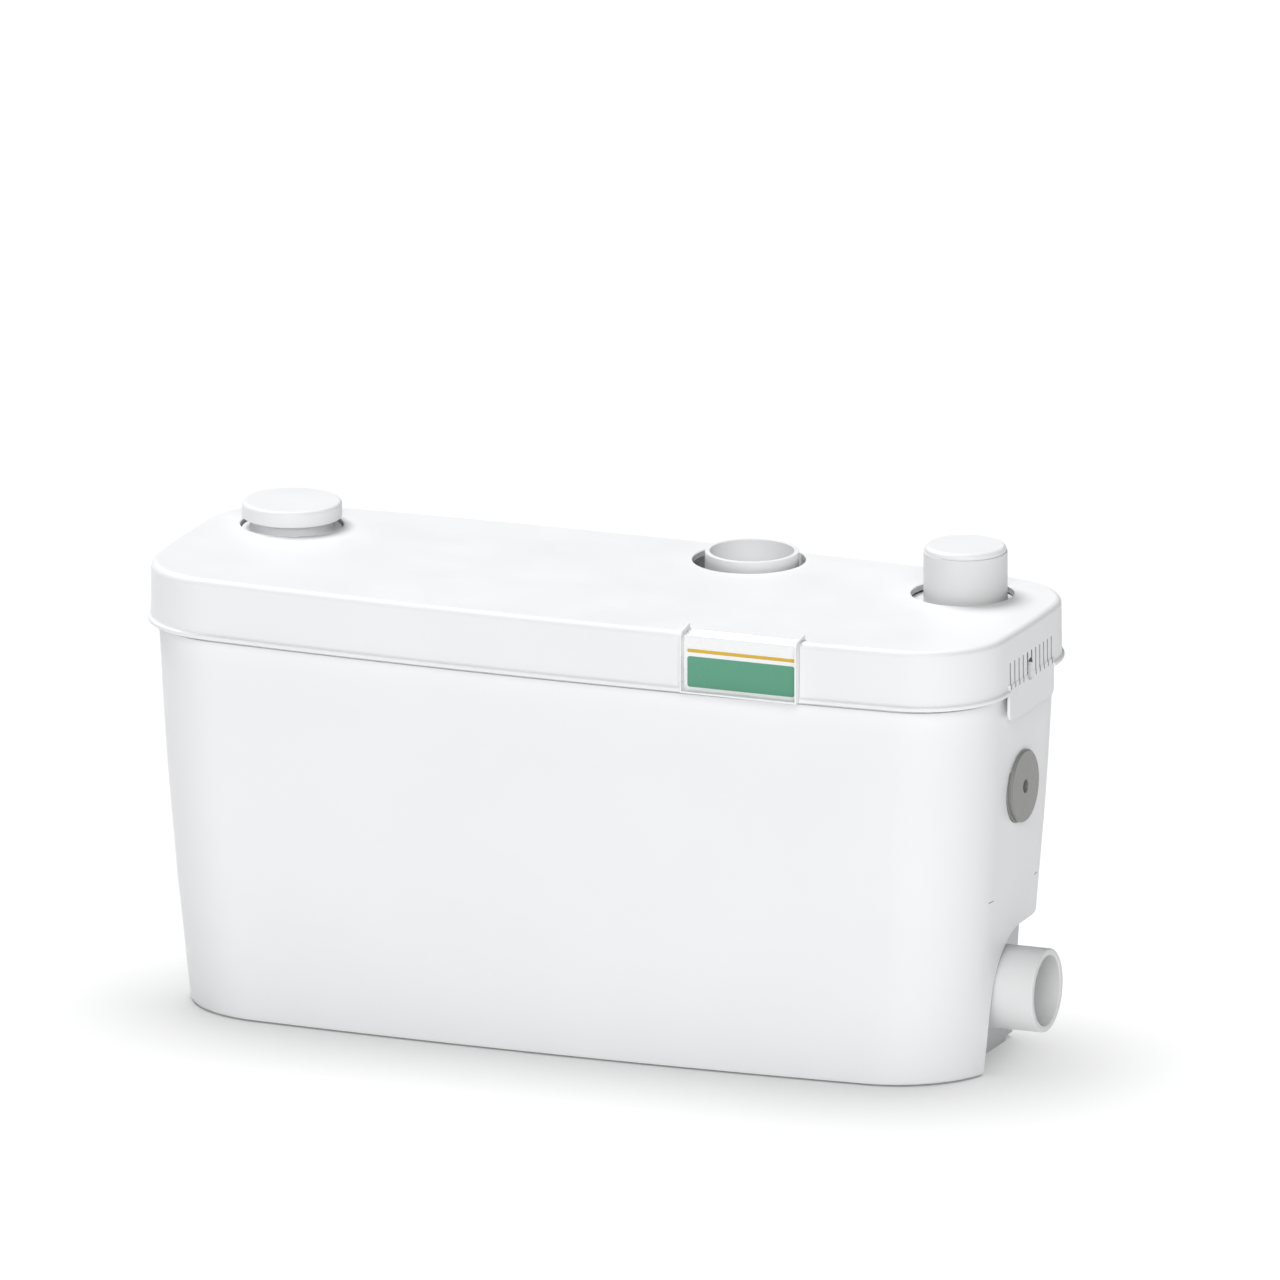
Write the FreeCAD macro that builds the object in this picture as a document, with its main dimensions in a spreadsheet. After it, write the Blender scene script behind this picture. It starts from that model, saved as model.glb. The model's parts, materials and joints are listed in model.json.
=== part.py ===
import FreeCAD, Part
import math
import os
import Sketcher

# Compact sewage lifting station: a drafted tank with a pipe niche, a sealed deck that carries
# the pump, level switch and pipe stubs, and a loose outer lid that lifts off over them.
# Millimetres. +X is the long axis, towards the low side inlet. +Y is the rear. +Z is up.
# The origin is on the floor, under the middle of the tank.

V = FreeCAD.Vector
doc = FreeCAD.newDocument("LiftingStation")
sheet = doc.addObject("Spreadsheet::Sheet", "Sizes")
sheet.Label = "Sizes"
ROWS = [0]
NODES = []


class Dim:
    # a size that knows both its value and the sheet formula that gives it
    def __init__(self, text, value):
        self.text = text
        self.value = float(value)

    def _two(self, other, sign, value, flip=False):
        o = Dim.of(other)
        a, b = (o.text, self.text) if flip else (self.text, o.text)
        return Dim("(%s %s %s)" % (a, sign, b), value)

    def __add__(self, other):
        return self._two(other, "+", self.value + Dim.of(other).value)

    def __radd__(self, other):
        return self._two(other, "+", self.value + Dim.of(other).value, True)

    def __sub__(self, other):
        return self._two(other, "-", self.value - Dim.of(other).value)

    def __rsub__(self, other):
        return self._two(other, "-", Dim.of(other).value - self.value, True)

    def __mul__(self, other):
        return self._two(other, "*", self.value * Dim.of(other).value)

    def __rmul__(self, other):
        return self._two(other, "*", self.value * Dim.of(other).value, True)

    def __truediv__(self, other):
        return self._two(other, "/", self.value / Dim.of(other).value)

    def __neg__(self):
        return Dim("(0 - %s)" % self.text, -self.value)

    @staticmethod
    def of(x):
        if isinstance(x, Dim):
            return x
        text = repr(round(float(x), 6))
        return Dim("(%s)" % text if text.startswith("-") else text, x)

    @property
    def driven(self):
        return "Sizes." in self.text


def num(x):
    return Dim.of(x).value


def dim(alias, value, note):
    # one row of the sheet: a note beside a named cell
    ROWS[0] += 1
    row = ROWS[0]
    sheet.set("A%d" % row, note)
    sheet.set("B%d" % row, str(value))
    sheet.setAlias("B%d" % row, alias)
    return Dim("Sizes." + alias, value)


# ---------------------------------------------------------------- driving sizes
lid_len = dim("lid_half_len", 218.5, "half length of the lid over its lip")
lid_dep = dim("lid_half_dep", 81.5, "half depth of the lid over its lip")
lid_bow = dim("lid_bow", 9.1, "bow of the lid's long sides")
lid_end = dim("lid_end_bow", 4.0, "bow of the lid's ends")
lid_cor = dim("lid_corner", 43.0, "plan radius of the lid's corners")
lid_low = dim("lid_low", 189.3, "lower edge of the lid's lip")
lid_top = dim("lid_top", 218.4, "top face of the lid")
lid_wall = dim("lid_wall", 2.5, "wall of the lid's skirt")
lid_plate = dim("lid_plate", 3.0, "thickness of the lid's top")

tank_len = dim("tank_half_len", 214.0, "half length of the tank at its shoulder")
tank_dep = dim("tank_half_dep", 77.0, "half depth of the tank at its shoulder")
tank_bow = dim("tank_bow", 8.6, "bow of the tank's long sides")
tank_end = dim("tank_end_bow", 3.0, "bow of the tank's ends")
tank_cor = dim("tank_corner", 42.0, "plan radius of the tank's corners at the shoulder")
tank_soft = dim("tank_soft", 9.0, "growth of the corners' plan radius down the lowest 60 mm")
tank_wall = dim("tank_wall", 3.5, "wall of the tank")
tank_floor = dim("tank_floor", 4.0, "thickness of the tank's floor")
shoulder = dim("shoulder", 187.5, "height of the tank's shoulder")
rim = dim("rim", 191.0, "height of the tank's rim")

deck_low = dim("deck_low", 192.2, "underside of the sealed deck")
deck_top = dim("deck_top", 196.2, "top of the sealed deck")

niche_wall = dim("niche_wall", 188.5, "inner wall of the pipe niche")
niche_front = dim("niche_front", -15.7, "front edge of the pipe niche, where it would meet the top edge")
niche_lean = dim("niche_lean", 0.218, "lean of the niche's front edge, forward per unit of drop")
niche_top = dim("niche_top", 66.8, "top edge of the pipe niche")
niche_knee = dim("niche_knee", 33.0, "height below which the niche's front edge runs almost straight down")
niche_cor = dim("niche_corner", 33.5, "radius of the niche's upper front corner")

pipe_od = dim("pipe_od", 40.0, "outside of a DN 40 pipe")

vent_x = dim("vent_x", -175.3, "vent stub, along the length")
side_y = dim("upright_y", 37.5, "vent and top inlet, from the middle to the rear")
inlet_x = dim("inlet_x", 168.5, "top inlet, along the length")
disch_x = dim("disch_x", 51.8, "discharge socket, along the length")
disch_y = dim("disch_y", 57.0, "discharge socket, from the middle to the rear")
disch_ro = dim("disch_outer", 22.4, "outer radius of the discharge socket")
disch_ri = dim("disch_inner", 20.05, "inner radius of the discharge socket")
disch_top = dim("disch_top", 222.8, "rim of the discharge socket")

inlet_top = dim("inlet_top", 239.3, "rim of the top inlet")
stub_z = dim("stub_axis", 38.0, "axis of the side inlet")
stub_end = dim("stub_end", 225.3, "end face of the side inlet")
stub_r = dim("stub_outer", 20.1, "outer radius of the side inlet")
stub_ri = dim("stub_inner", 16.9, "inner radius of the side inlet")

plug_z = dim("plug_axis", 137.4, "axis of the grey plug")
plug_r = dim("plug_radius", 17.7, "radius of the grey plug")

pump_x = dim("pump_x", -60.0, "pump axis, along the length")
shaft_r = dim("shaft_radius", 5.0, "radius of the pump's shaft")
line_ri = dim("line_inner", 12.0, "inner radius of the discharge line")
line_ro = dim("line_outer", 15.0, "outer radius of the discharge line")
line_y = dim("line_y", 34.0, "discharge line, from the middle to the rear")
line_z = dim("line_z", 37.0, "height of the pump's outlet")

bell_x = dim("bell_x", 112.0, "pressure bell, along the length")
bell_y = dim("bell_y", -22.0, "pressure bell, from the middle to the rear")
doc.recompute()


# ---------------------------------------------------------------- helpers
def bind(obj, path, size):
    d = Dim.of(size)
    if d.driven:
        obj.setExpression(path, d.text)


def put(obj, x=0, y=0, z=0, axis="z"):
    turn = {"z": FreeCAD.Rotation(), "x": FreeCAD.Rotation(V(0, 1, 0), 90),
            "y": FreeCAD.Rotation(V(1, 0, 0), -90)}[axis]
    obj.Placement = FreeCAD.Placement(V(num(x), num(y), num(z)), turn)
    for key, size in (("x", x), ("y", y), ("z", z)):
        bind(obj, "Placement.Base." + key, size)
    return obj


def cyl(name, r, height, x=0, y=0, z=0, axis="z"):
    o = doc.addObject("Part::Cylinder", name)
    o.Radius = num(r)
    o.Height = num(height)
    bind(o, "Radius", r)
    bind(o, "Height", height)
    return put(o, x, y, z, axis)


def box(name, x0, y0, z0, lx, ly, lz):
    o = doc.addObject("Part::Box", name)
    for key, size in (("Length", lx), ("Width", ly), ("Height", lz)):
        setattr(o, key, num(size))
        bind(o, key, size)
    return put(o, x0, y0, z0)


def solid(name, shape):
    o = doc.addObject("Part::Feature", name)
    o.Shape = shape
    return o


def join(name, *parts):
    o = doc.addObject("Part::MultiFuse", name)
    o.Shapes = list(parts)
    return o


def cut(name, base, *tools):
    o = doc.addObject("Part::Cut", name)
    o.Base = base
    o.Tool = tools[0] if len(tools) == 1 else join(name + "_tools", *tools)
    return o


def common(name, a, b):
    o = doc.addObject("Part::Common", name)
    o.Base = a
    o.Tool = b
    return o


def node(obj, label):
    obj.Label = label
    NODES.append(obj)
    return obj


def outline_sketch(body, name, plane, pts):
    # closed outline of straight runs, every corner tied to the sheet
    sk = body.newObject("Sketcher::SketchObject", name)
    face = [f for f in body.Origin.OriginFeatures if f.Role == plane][0]
    sk.AttachmentSupport = [(face, "")]
    sk.MapMode = "FlatFace"
    n = len(pts)
    for i in range(n):
        a, b = pts[i], pts[(i + 1) % n]
        sk.addGeometry(Part.LineSegment(V(num(a[0]), num(a[1]), 0), V(num(b[0]), num(b[1]), 0)), False)
    for i in range(n):
        sk.addConstraint(Sketcher.Constraint("Coincident", i, 2, (i + 1) % n, 1))
    for i, (a, b) in enumerate(pts):
        for kind, size, line in (("DistanceX", a, -2), ("DistanceY", b, -1)):
            if abs(num(size)) < 1e-9:
                sk.addConstraint(Sketcher.Constraint("PointOnObject", i, 1, line))
                continue
            k = sk.addConstraint(Sketcher.Constraint(kind, -1, 1, i, 1, num(size)))
            bind(sk, "Constraints[%d]" % k, size)
    return sk


def turned(name, pts, x=0, y=0, z=0, axis="z"):
    # a piece turned about its own axis from an (r, height) outline
    body = doc.addObject("PartDesign::Body", name)
    sk = outline_sketch(body, name + "_outline", "XZ_Plane", pts)
    rev = body.newObject("PartDesign::Revolution", name + "_turn")
    rev.Profile = sk
    rev.ReferenceAxis = (sk, ["V_Axis"])
    rev.Angle = 360.0
    sk.Visibility = False
    body.Tip = rev
    return put(body, x, y, z, axis)


def padded(name, pts, height, x=0, y=0, z=0):
    # a plate or block from an (x, y) outline
    body = doc.addObject("PartDesign::Body", name)
    sk = outline_sketch(body, name + "_outline", "XY_Plane", pts)
    pad = body.newObject("PartDesign::Pad", name + "_pad")
    pad.Profile = sk
    pad.Length = num(height)
    bind(pad, "Length", height)
    body.Tip = pad
    return put(body, x, y, z)


def tube_pts(ri, ro, z0, z1):
    return [(ri, z0), (ro, z0), (ro, z1), (ri, z1)]


def plan_wire(A, B, s, se, R, z):
    # rounded rectangle whose four sides bow outwards, as eight tangent arcs
    A, B, s, se, R = (num(q) for q in (A, B, s, se, R))
    Rf = (A * A + s * s) / (2 * s)
    Re = (B * B + se * se) / (2 * se)
    cf = (0.0, -B + Rf)
    ce = (A - Re, 0.0)
    d1, d2 = Rf - R, Re - R
    dx, dy = ce[0] - cf[0], ce[1] - cf[1]
    d = math.hypot(dx, dy)
    a = (d1 * d1 - d2 * d2 + d * d) / (2 * d)
    hh = math.sqrt(max(d1 * d1 - a * a, 0.0))
    mx, my = cf[0] + a * dx / d, cf[1] + a * dy / d
    c1 = (mx - hh * dy / d, my + hh * dx / d)
    c2 = (mx + hh * dy / d, my - hh * dx / d)
    c = c1 if (c1[0] > 0 and c1[1] < 0) else c2
    l1 = math.hypot(c[0] - cf[0], c[1] - cf[1])
    l2 = math.hypot(c[0] - ce[0], c[1] - ce[1])
    t1 = (cf[0] + (c[0] - cf[0]) / l1 * Rf, cf[1] + (c[1] - cf[1]) / l1 * Rf)
    t2 = (ce[0] + (c[0] - ce[0]) / l2 * Re, ce[1] + (c[1] - ce[1]) / l2 * Re)
    mm = ((t1[0] + t2[0]) / 2 - c[0], (t1[1] + t2[1]) / 2 - c[1])
    lm = math.hypot(*mm)
    m = (c[0] + mm[0] / lm * R, c[1] + mm[1] / lm * R)

    def p(q, sx=1, sy=1):
        return V(q[0] * sx, q[1] * sy, z)
    edges = [
        Part.Arc(p(t1, -1), V(0, -B, z), p(t1)).toShape(),
        Part.Arc(p(t1), p(m), p(t2)).toShape(),
        Part.Arc(p(t2), V(A, 0, z), p(t2, 1, -1)).toShape(),
        Part.Arc(p(t2, 1, -1), p(m, 1, -1), p(t1, 1, -1)).toShape(),
        Part.Arc(p(t1, 1, -1), V(0, B, z), p(t1, -1, -1)).toShape(),
        Part.Arc(p(t1, -1, -1), p(m, -1, -1), p(t2, -1, -1)).toShape(),
        Part.Arc(p(t2, -1, -1), V(-A, 0, z), p(t2, -1)).toShape(),
        Part.Arc(p(t2, -1), p(m, -1), p(t1, -1)).toShape(),
    ]
    return Part.Wire(edges)


def drafted(levels):
    # straight-ruled solid through plan outlines; a level is (z, half length, half depth, bow, end bow, corner)
    wires = [plan_wire(A, B, s, se, R, z) for z, A, B, s, se, R in levels]
    return Part.makeLoft(wires, True, True)


def swept(points, radii, ri, ro):
    # pipe along straight runs joined by tangent arcs
    pts = [V(*q) for q in points]
    edges = []
    start = pts[0]
    for i in range(1, len(pts) - 1):
        p, q, r = pts[i - 1], pts[i], pts[i + 1]
        u = (p - q).normalize()
        w = (r - q).normalize()
        half = math.acos(max(-1.0, min(1.0, u.dot(w)))) / 2
        back = radii[i - 1] / math.tan(half)
        a = q + u * back
        b = q + w * back
        bis = (u + w).normalize()
        centre = q + bis * (radii[i - 1] / math.sin(half))
        mid = centre - bis * radii[i - 1]
        edges.append(Part.LineSegment(start, a).toShape())
        edges.append(Part.Arc(a, mid, b).toShape())
        start = b
    edges.append(Part.LineSegment(start, pts[-1]).toShape())
    path = Part.Wire(edges)
    direction = (pts[1] - pts[0]).normalize()

    def tube(r):
        ring = Part.Wire([Part.Circle(pts[0], direction, r).toShape()])
        return path.makePipeShell([ring], True, False)
    outer = tube(ro)
    return outer.cut(tube(ri)) if ri else outer


LL, LD, LB, LE, LC = lid_len.value, lid_dep.value, lid_bow.value, lid_end.value, lid_cor.value
TL, TD, TB, TE, TC = tank_len.value, tank_dep.value, tank_bow.value, tank_end.value, tank_cor.value
Z_LOW, Z_TOP = lid_low.value, lid_top.value
SH, RIM = shoulder.value, rim.value
TW = tank_wall.value


def lid_level(z, inset):
    return (z, LL - inset, LD - inset, LB, LE, LC - inset)


def tank_level(z, end_in, side_in):
    k = side_in
    soft = tank_soft.value * max(0.0, (63.0 - z) / 60.0)
    return (z, TL - end_in, TD - side_in, TB - 0.04 * k, TE - 0.05 * k, TC - 0.1 * k + soft)


# ---------------------------------------------------------------- tank
TANK = [(0.0, 11.4, 12.4), (0.8, 10.3, 11.3), (3.0, 9.9, 10.9), (63.0, 7.0, 7.0), (126.0, 3.0, 2.5), (SH, 0.0, 0.0)]
outer_levels = [tank_level(z, e, s) for z, e, s in TANK]
outer_levels += [tank_level(SH + 0.01, 0.8, 0.8), tank_level(RIM, 0.8, 0.8)]
inner_levels = [tank_level(tank_floor.value, 9.9 + TW, 10.9 + TW)]
inner_levels += [tank_level(z, e + TW, s + TW) for z, e, s in TANK[3:]]
inner_levels += [tank_level(RIM + 20, TW, TW)]
tank_outer = solid("tank_outer", drafted(outer_levels))
tank_inner = solid("tank_inner", drafted(inner_levels))


def niche_prism(x0, grow):
    # the front edge sweeps out of the top edge, leans forward, then runs almost straight down
    lean = niche_lean.value
    run = math.hypot(1.0, lean)
    z1 = niche_top.value + grow
    yc = niche_front.value - grow * (run - lean)
    r = niche_cor.value + grow
    dy, dz = -lean / run, -1.0 / run
    t = r / math.tan(math.acos(dy) / 2)
    a, b = V(x0, yc + t * dy, z1 + t * dz), V(x0, yc + t, z1)
    cy, cz = b.y, z1 - r
    q = (math.atan2(a.z - cz, a.y - cy) + math.pi / 2) / 2
    knee = V(x0, yc - lean * (z1 - niche_knee.value), niche_knee.value)
    foot = V(x0, knee.y - 0.03 * (knee.z + 10), -10)
    w = Part.Wire([
        Part.LineSegment(foot, knee).toShape(),
        Part.LineSegment(knee, a).toShape(),
        Part.Arc(a, V(x0, cy + r * math.cos(q), cz + r * math.sin(q)), b).toShape(),
        Part.LineSegment(b, V(x0, 120, z1)).toShape(),
        Part.LineSegment(V(x0, 120, z1), V(x0, 120, -10)).toShape(),
        Part.LineSegment(V(x0, 120, -10), foot).toShape(),
    ])
    return Part.Face(w).extrude(V(60, 0, 0))


niche_cut = solid("niche_cut", niche_prism(niche_wall.value, 0.0))
niche_keep = solid("niche_keep", niche_prism(niche_wall.value - TW, TW))
cavity = cut("tank_cavity", tank_inner, niche_keep)

# screw bosses round the rim, each blended into the wall
BOSSES = [(-150, -64.8), (-50, -68.8), (50, -68.8), (150, -64.8), (-150, 64.8), (-40, 68.9), (108, 66.9),
          (-205.8, 0), (205.8, 0)]
boss_list = []
for i, (bx, by) in enumerate(BOSSES):
    b = cyl("boss_%d" % i, 5.5, rim - 172, bx, by, 172)
    boss_list.append(b)
bosses = common("bosses_in", join("bosses", *boss_list),
                solid("tank_trim", drafted([tank_level(z, e + 1, s + 1) for z, e, s in TANK[3:]]
                                           + [tank_level(RIM + 20, 1.5, 1.5)])))
boss_holes = [cyl("boss_hole_%d" % i, 1.7, 16, bx, by, deck_low - 15) for i, (bx, by) in enumerate(BOSSES)]
plug_pad = cyl("plug_pad", 24, 9.5, 202.0, 0, plug_z, "x")
plug_pad_in = common("plug_pad_in", plug_pad, solid("tank_trim_b", drafted(outer_levels[:6])))
shell = cut("tank_shell", tank_outer, niche_cut, cavity)
body_plus = join("tank_plus", shell, bosses, plug_pad_in)
tank = cut("tank_body", body_plus,
           cyl("stub_hole", 20.5, 12, niche_wall - 8, 0, stub_z, "x"),
           cyl("plug_hole", 14.4, 20, 198, 0, plug_z, "x"),
           cyl("plug_seat", plug_r + 0.3, 12, 209.7, 0, plug_z, "x"),
           box("foot_relief", 150, 38.6, -1, 60, 50, 3.2),
           box("tick_front", 206.6, -31.2, 86.6, 4, 5.4, 0.6),
           box("tick_rear", 206.6, 25.8, 86.6, 4, 5.4, 0.6),
           *boss_holes)
node(tank, "tank")

# ---------------------------------------------------------------- gasket, sealed deck and its screws
gasket = solid("gasket_ring", drafted([tank_level(RIM, 1.0, 1.0), tank_level(deck_low.value, 1.0, 1.0)]).cut(
    drafted([tank_level(RIM - 1, 3.4, 3.4), tank_level(deck_low.value + 1, 3.4, 3.4)])))
node(gasket, "cover_gasket")

deck_plate = solid("deck_plate", drafted([tank_level(deck_low.value, 1.0, 1.0), tank_level(deck_top.value, 1.0, 1.0)]))
deck_rib = solid("deck_rib", drafted([tank_level(deck_top.value - 0.5, 1.4, 1.4), tank_level(199.0, 1.4, 1.4)]).cut(
    drafted([tank_level(deck_top.value - 1, 3.2, 3.2), tank_level(200.0, 3.2, 3.2)])))


def catch(name, sx):
    # small ramped hook behind the lid's snap slot
    pts = [(210.0, 193.0), (214.3, 194.0), (214.3, 195.6), (212.2, 201.0), (210.0, 201.0)]
    w = Part.makePolygon([V(sx * a, -4.2, b) for a, b in pts] + [V(sx * pts[0][0], -4.2, pts[0][1])])
    return solid(name, Part.Face(w).extrude(V(0, 4.8, 0)))


POSTS = [(-32, 0), (32, 0), (0, -32), (0, 32)]
post_list = [cyl("hang_post_%d" % i, 6, 24, pump_x + a, b, deck_low - 24 + 0.5) for i, (a, b) in enumerate(POSTS)]
long_ribs = [box("deck_rib_a", -10, -70, deck_top - 0.5, 2.2, 62, 4.5), box("deck_rib_b", 78, -70, deck_top - 0.5, 2.2, 100, 4.5),
             box("deck_rib_c", 20, -12, deck_top - 0.5, 58.5, 2.2, 4.5)]
gland_wall = box("gland_wall", -113, 62, deck_top - 0.5, 26, 4, 18.0)
deck_plus = join("deck_plus", deck_plate, deck_rib, catch("catch_right", 1), catch("catch_left", -1),
                 gland_wall, *(post_list + long_ribs))
deck_holes = [cyl("deck_screw_hole_%d" % i, 2.2, 12, bx, by, deck_low - 3) for i, (bx, by) in enumerate(BOSSES)]
deck = cut("deck_body", deck_plus,
           cyl("deck_vent_hole", 15, 12, vent_x, side_y, deck_low - 3),
           cyl("deck_disch_hole", 15.6, 14, disch_x, disch_y, deck_low - 3),
           cyl("deck_disch_clear", disch_ro + 0.3, 30, disch_x, disch_y, 199.0),
           cyl("deck_disch_flange", 18.0, 5, disch_x, disch_y, deck_top),
           cyl("deck_inlet_hole", pipe_od / 2 + 1.6, 12, inlet_x, side_y, deck_low - 3),
           cyl("deck_bell_hole", 13.1, 12, bell_x, bell_y, deck_low - 3),
           cyl("deck_lead_hole", 6.0, 12, pump_x + 20, 16, deck_low - 3),
           cyl("gland_hole", 6.1, 10, -100, 60, 205.2, "y"), box("gland_rib_gap", -110, 67, deck_top, 20, 12, 4),
           *deck_holes)
node(deck, "inner_cover")


def group(label, name, makers):
    node(join(name, *makers), label)


screw_list = []
for i, (bx, by) in enumerate(BOSSES):
    screw_list.append(turned("cover_screw_%d" % i, [(0, 0), (1.6, 0), (1.6, 12.0), (2.1, 12.0), (2.1, 16.0), (4.0, 16.0),
                                                    (4.0, 18.2), (3.4, 18.8), (1.5, 18.8), (1.5, 17.4), (0, 17.4)],
                             bx, by, deck_top - 16.0))
group("cover_screws", "cover_screw_set", screw_list)

# ---------------------------------------------------------------- outer lid
lid_out = solid("lid_outer", drafted([lid_level(Z_LOW, 0.25), lid_level(Z_LOW + 0.5, 0.0), lid_level(Z_LOW + 1.9, 0.0),
                                      lid_level(Z_LOW + 3.0, 1.25), lid_level(Z_TOP - 3.0, 1.45),
                                      lid_level(Z_TOP - 0.9, 2.3), lid_level(Z_TOP, 4.3)]))
lw = 1.45 + lid_wall.value
lid_in = solid("lid_inner", drafted([lid_level(Z_LOW - 5, lw - 0.15), lid_level(Z_TOP - lid_plate.value, lw)]))


def tab(name, sx):
    # flat tongue that hangs below the lip at each end
    x0, x1 = 215.9, 217.4
    r = 4.0
    k = r * (1 - math.sqrt(0.5))
    zb, zt, w = 176.0, 194.0, 28.5
    x = sx * x0
    wire = Part.Wire([
        Part.LineSegment(V(x, -w, zt), V(x, -w, zb + r)).toShape(),
        Part.Arc(V(x, -w, zb + r), V(x, -w + k, zb + k), V(x, -w + r, zb)).toShape(),
        Part.LineSegment(V(x, -w + r, zb), V(x, w - r, zb)).toShape(),
        Part.Arc(V(x, w - r, zb), V(x, w - k, zb + k), V(x, w, zb + r)).toShape(),
        Part.LineSegment(V(x, w, zb + r), V(x, w, zt)).toShape(),
        Part.LineSegment(V(x, w, zt), V(x, -w, zt)).toShape(),
    ])
    return solid(name, Part.Face(wire).extrude(V(sx * (x1 - x0), 0, 0)))


lip_trim = [box("lip_trim_right", 217.4, -28.5, Z_LOW - 1, 5, 57, 4.2),
            box("lip_trim_left", -222.4, -28.5, Z_LOW - 1, 5, 57, 4.2)]
slots = []
for i in range(-5, 6):
    slots.append(box("groove_r%d" % (i + 5), 215.8, i * 5.25 - 0.65, 190.8, 4, 1.3, 14.0))
    slots.append(box("groove_l%d" % (i + 5), -219.8, i * 5.25 - 0.65, 190.8, 4, 1.3, 14.0))
snaps = []
for tag, wx in (("right", 211), ("left", -220)):
    snaps.append(join("snap_" + tag, box("snap_mid_" + tag, wx, -4.8, 193.3, 9, 6.0, 5.0),
                      cyl("snap_low_" + tag, 3.0, 9, wx, -1.8, 193.3, "x"), cyl("snap_high_" + tag, 3.0, 9, wx, -1.8, 198.3, "x")))
LEGS = [(-190, -35), (192, -35), (0, -62), (-12, 62), (134, 58)]
legs = [cyl("lid_leg_%d" % i, 4, Z_TOP - 2 - deck_top.value, a, b, deck_top) for i, (a, b) in enumerate(LEGS)]


def plate_pocket(name):
    # front edge cut away where the name plate clips on
    pts = [(-69.3, 230.0), (-69.3, 217.35), (-76.0, 215.95), (-76.0, 180.0), (-100.0, 180.0), (-100.0, 230.0)]
    x0 = 69.4
    w = Part.makePolygon([V(x0, a, b) for a, b in pts] + [V(x0, pts[0][0], pts[0][1])])
    return solid(name, Part.Face(w).extrude(V(59.8, 0, 0)))


gland_gap = join("gland_gap", cyl("gland_gap_round", 9.2, 12, -100, 72, 205.2, "y"),
                 box("gland_gap_open", -109.2, 72, 180, 18.4, 12, 25.2))
lid_shell = cut("lid_shell", lid_out, lid_in)
lid_plus = join("lid_plus", lid_shell, tab("tab_right", 1), tab("tab_left", -1), *legs)
lid = cut("lid_body", lid_plus,
          cyl("lid_vent_hole", 24.6, 60, vent_x, side_y, 180),
          cyl("lid_disch_hole", 27.5, 60, 50.9, disch_y, 180),
          cyl("lid_inlet_hole", 25.2, 60, inlet_x - 0.7, side_y, 180),
          plate_pocket("plate_pocket"), gland_gap,
          *(lip_trim + slots + snaps))
node(lid, "outer_lid")


# ---------------------------------------------------------------- name plate: folded tray with raised edges
def plate_piece(name, pts, x0, x1):
    w = Part.makePolygon([V(x0, a, b) for a, b in pts] + [V(x0, pts[0][0], pts[0][1])])
    return solid(name, Part.Face(w).extrude(V(x1 - x0, 0, 0)))


PX0, PX1 = 69.5, 129.1
tray = plate_piece("plate_tray", [(-69.4, 218.4), (-77.0, 216.8), (-77.0, Z_LOW), (-76.0, Z_LOW), (-76.0, 215.95), (-69.4, 217.35)], PX0, PX1)
EDGE = [(-69.4, 221.0), (-79.6, 219.2), (-81.3, 217.3), (-81.3, Z_LOW), (-76.5, Z_LOW), (-76.5, 216.3), (-69.4, 217.8)]
plate = join("plate_body", tray, plate_piece("plate_edge_l", EDGE, PX0, PX0 + 0.9),
             plate_piece("plate_edge_r", EDGE, PX1 - 0.9, PX1),
             box("plate_ledge", PX0, -81.3, Z_LOW, PX1 - PX0, 4.8, 0.9))
node(plate, "name_plate")

# ---------------------------------------------------------------- vent: neck, filter, cap
vz = deck_top.value
node(turned("vent_neck_body", [(15.0, 0), (23.5, 0), (23.5, 2.6), (20.0, 3.4), (20.0, 17.4), (24.0, 17.4), (24.0, 20.2),
                               (20.0, 20.4), (20.0, 25.8), (17.0, 25.8), (17.0, 2.0), (15.0, 2.0)], vent_x, side_y, deck_top), "vent_neck")
node(turned("carbon_filter_body", [(0, 0), (16.9, 0), (16.9, 17.0), (15.6, 18.0), (4.0, 18.0), (4.0, 16.0), (0, 16.0)],
            vent_x, side_y, deck_top + 2.0), "carbon_filter")
node(turned("vent_cap_body", [(16.7, 0), (16.7, 4.2), (23.8, 4.2), (23.8, 10.4), (23.3, 11.4), (22.2, 11.9), (11.0, 12.15), (0, 12.2),
                              (0, 7.2), (14.7, 7.2), (14.7, 0)], vent_x, side_y, 217.9), "vent_cap")

# ---------------------------------------------------------------- discharge socket
node(turned("discharge_socket_body", [(13.0, 0), (15.5, 0), (15.5, deck_top - 182), (17.8, deck_top - 182), (17.8, 17.2), (disch_ro, 17.2),
                                      (disch_ro, disch_top - 182 - 0.6), (disch_ro - 0.6, disch_top - 182), (disch_ri + 0.5, disch_top - 182),
                                      (disch_ri, disch_top - 182.5), (disch_ri, 19.6), (13.0, 19.6)], disch_x, disch_y, 182), "discharge_socket")

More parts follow.
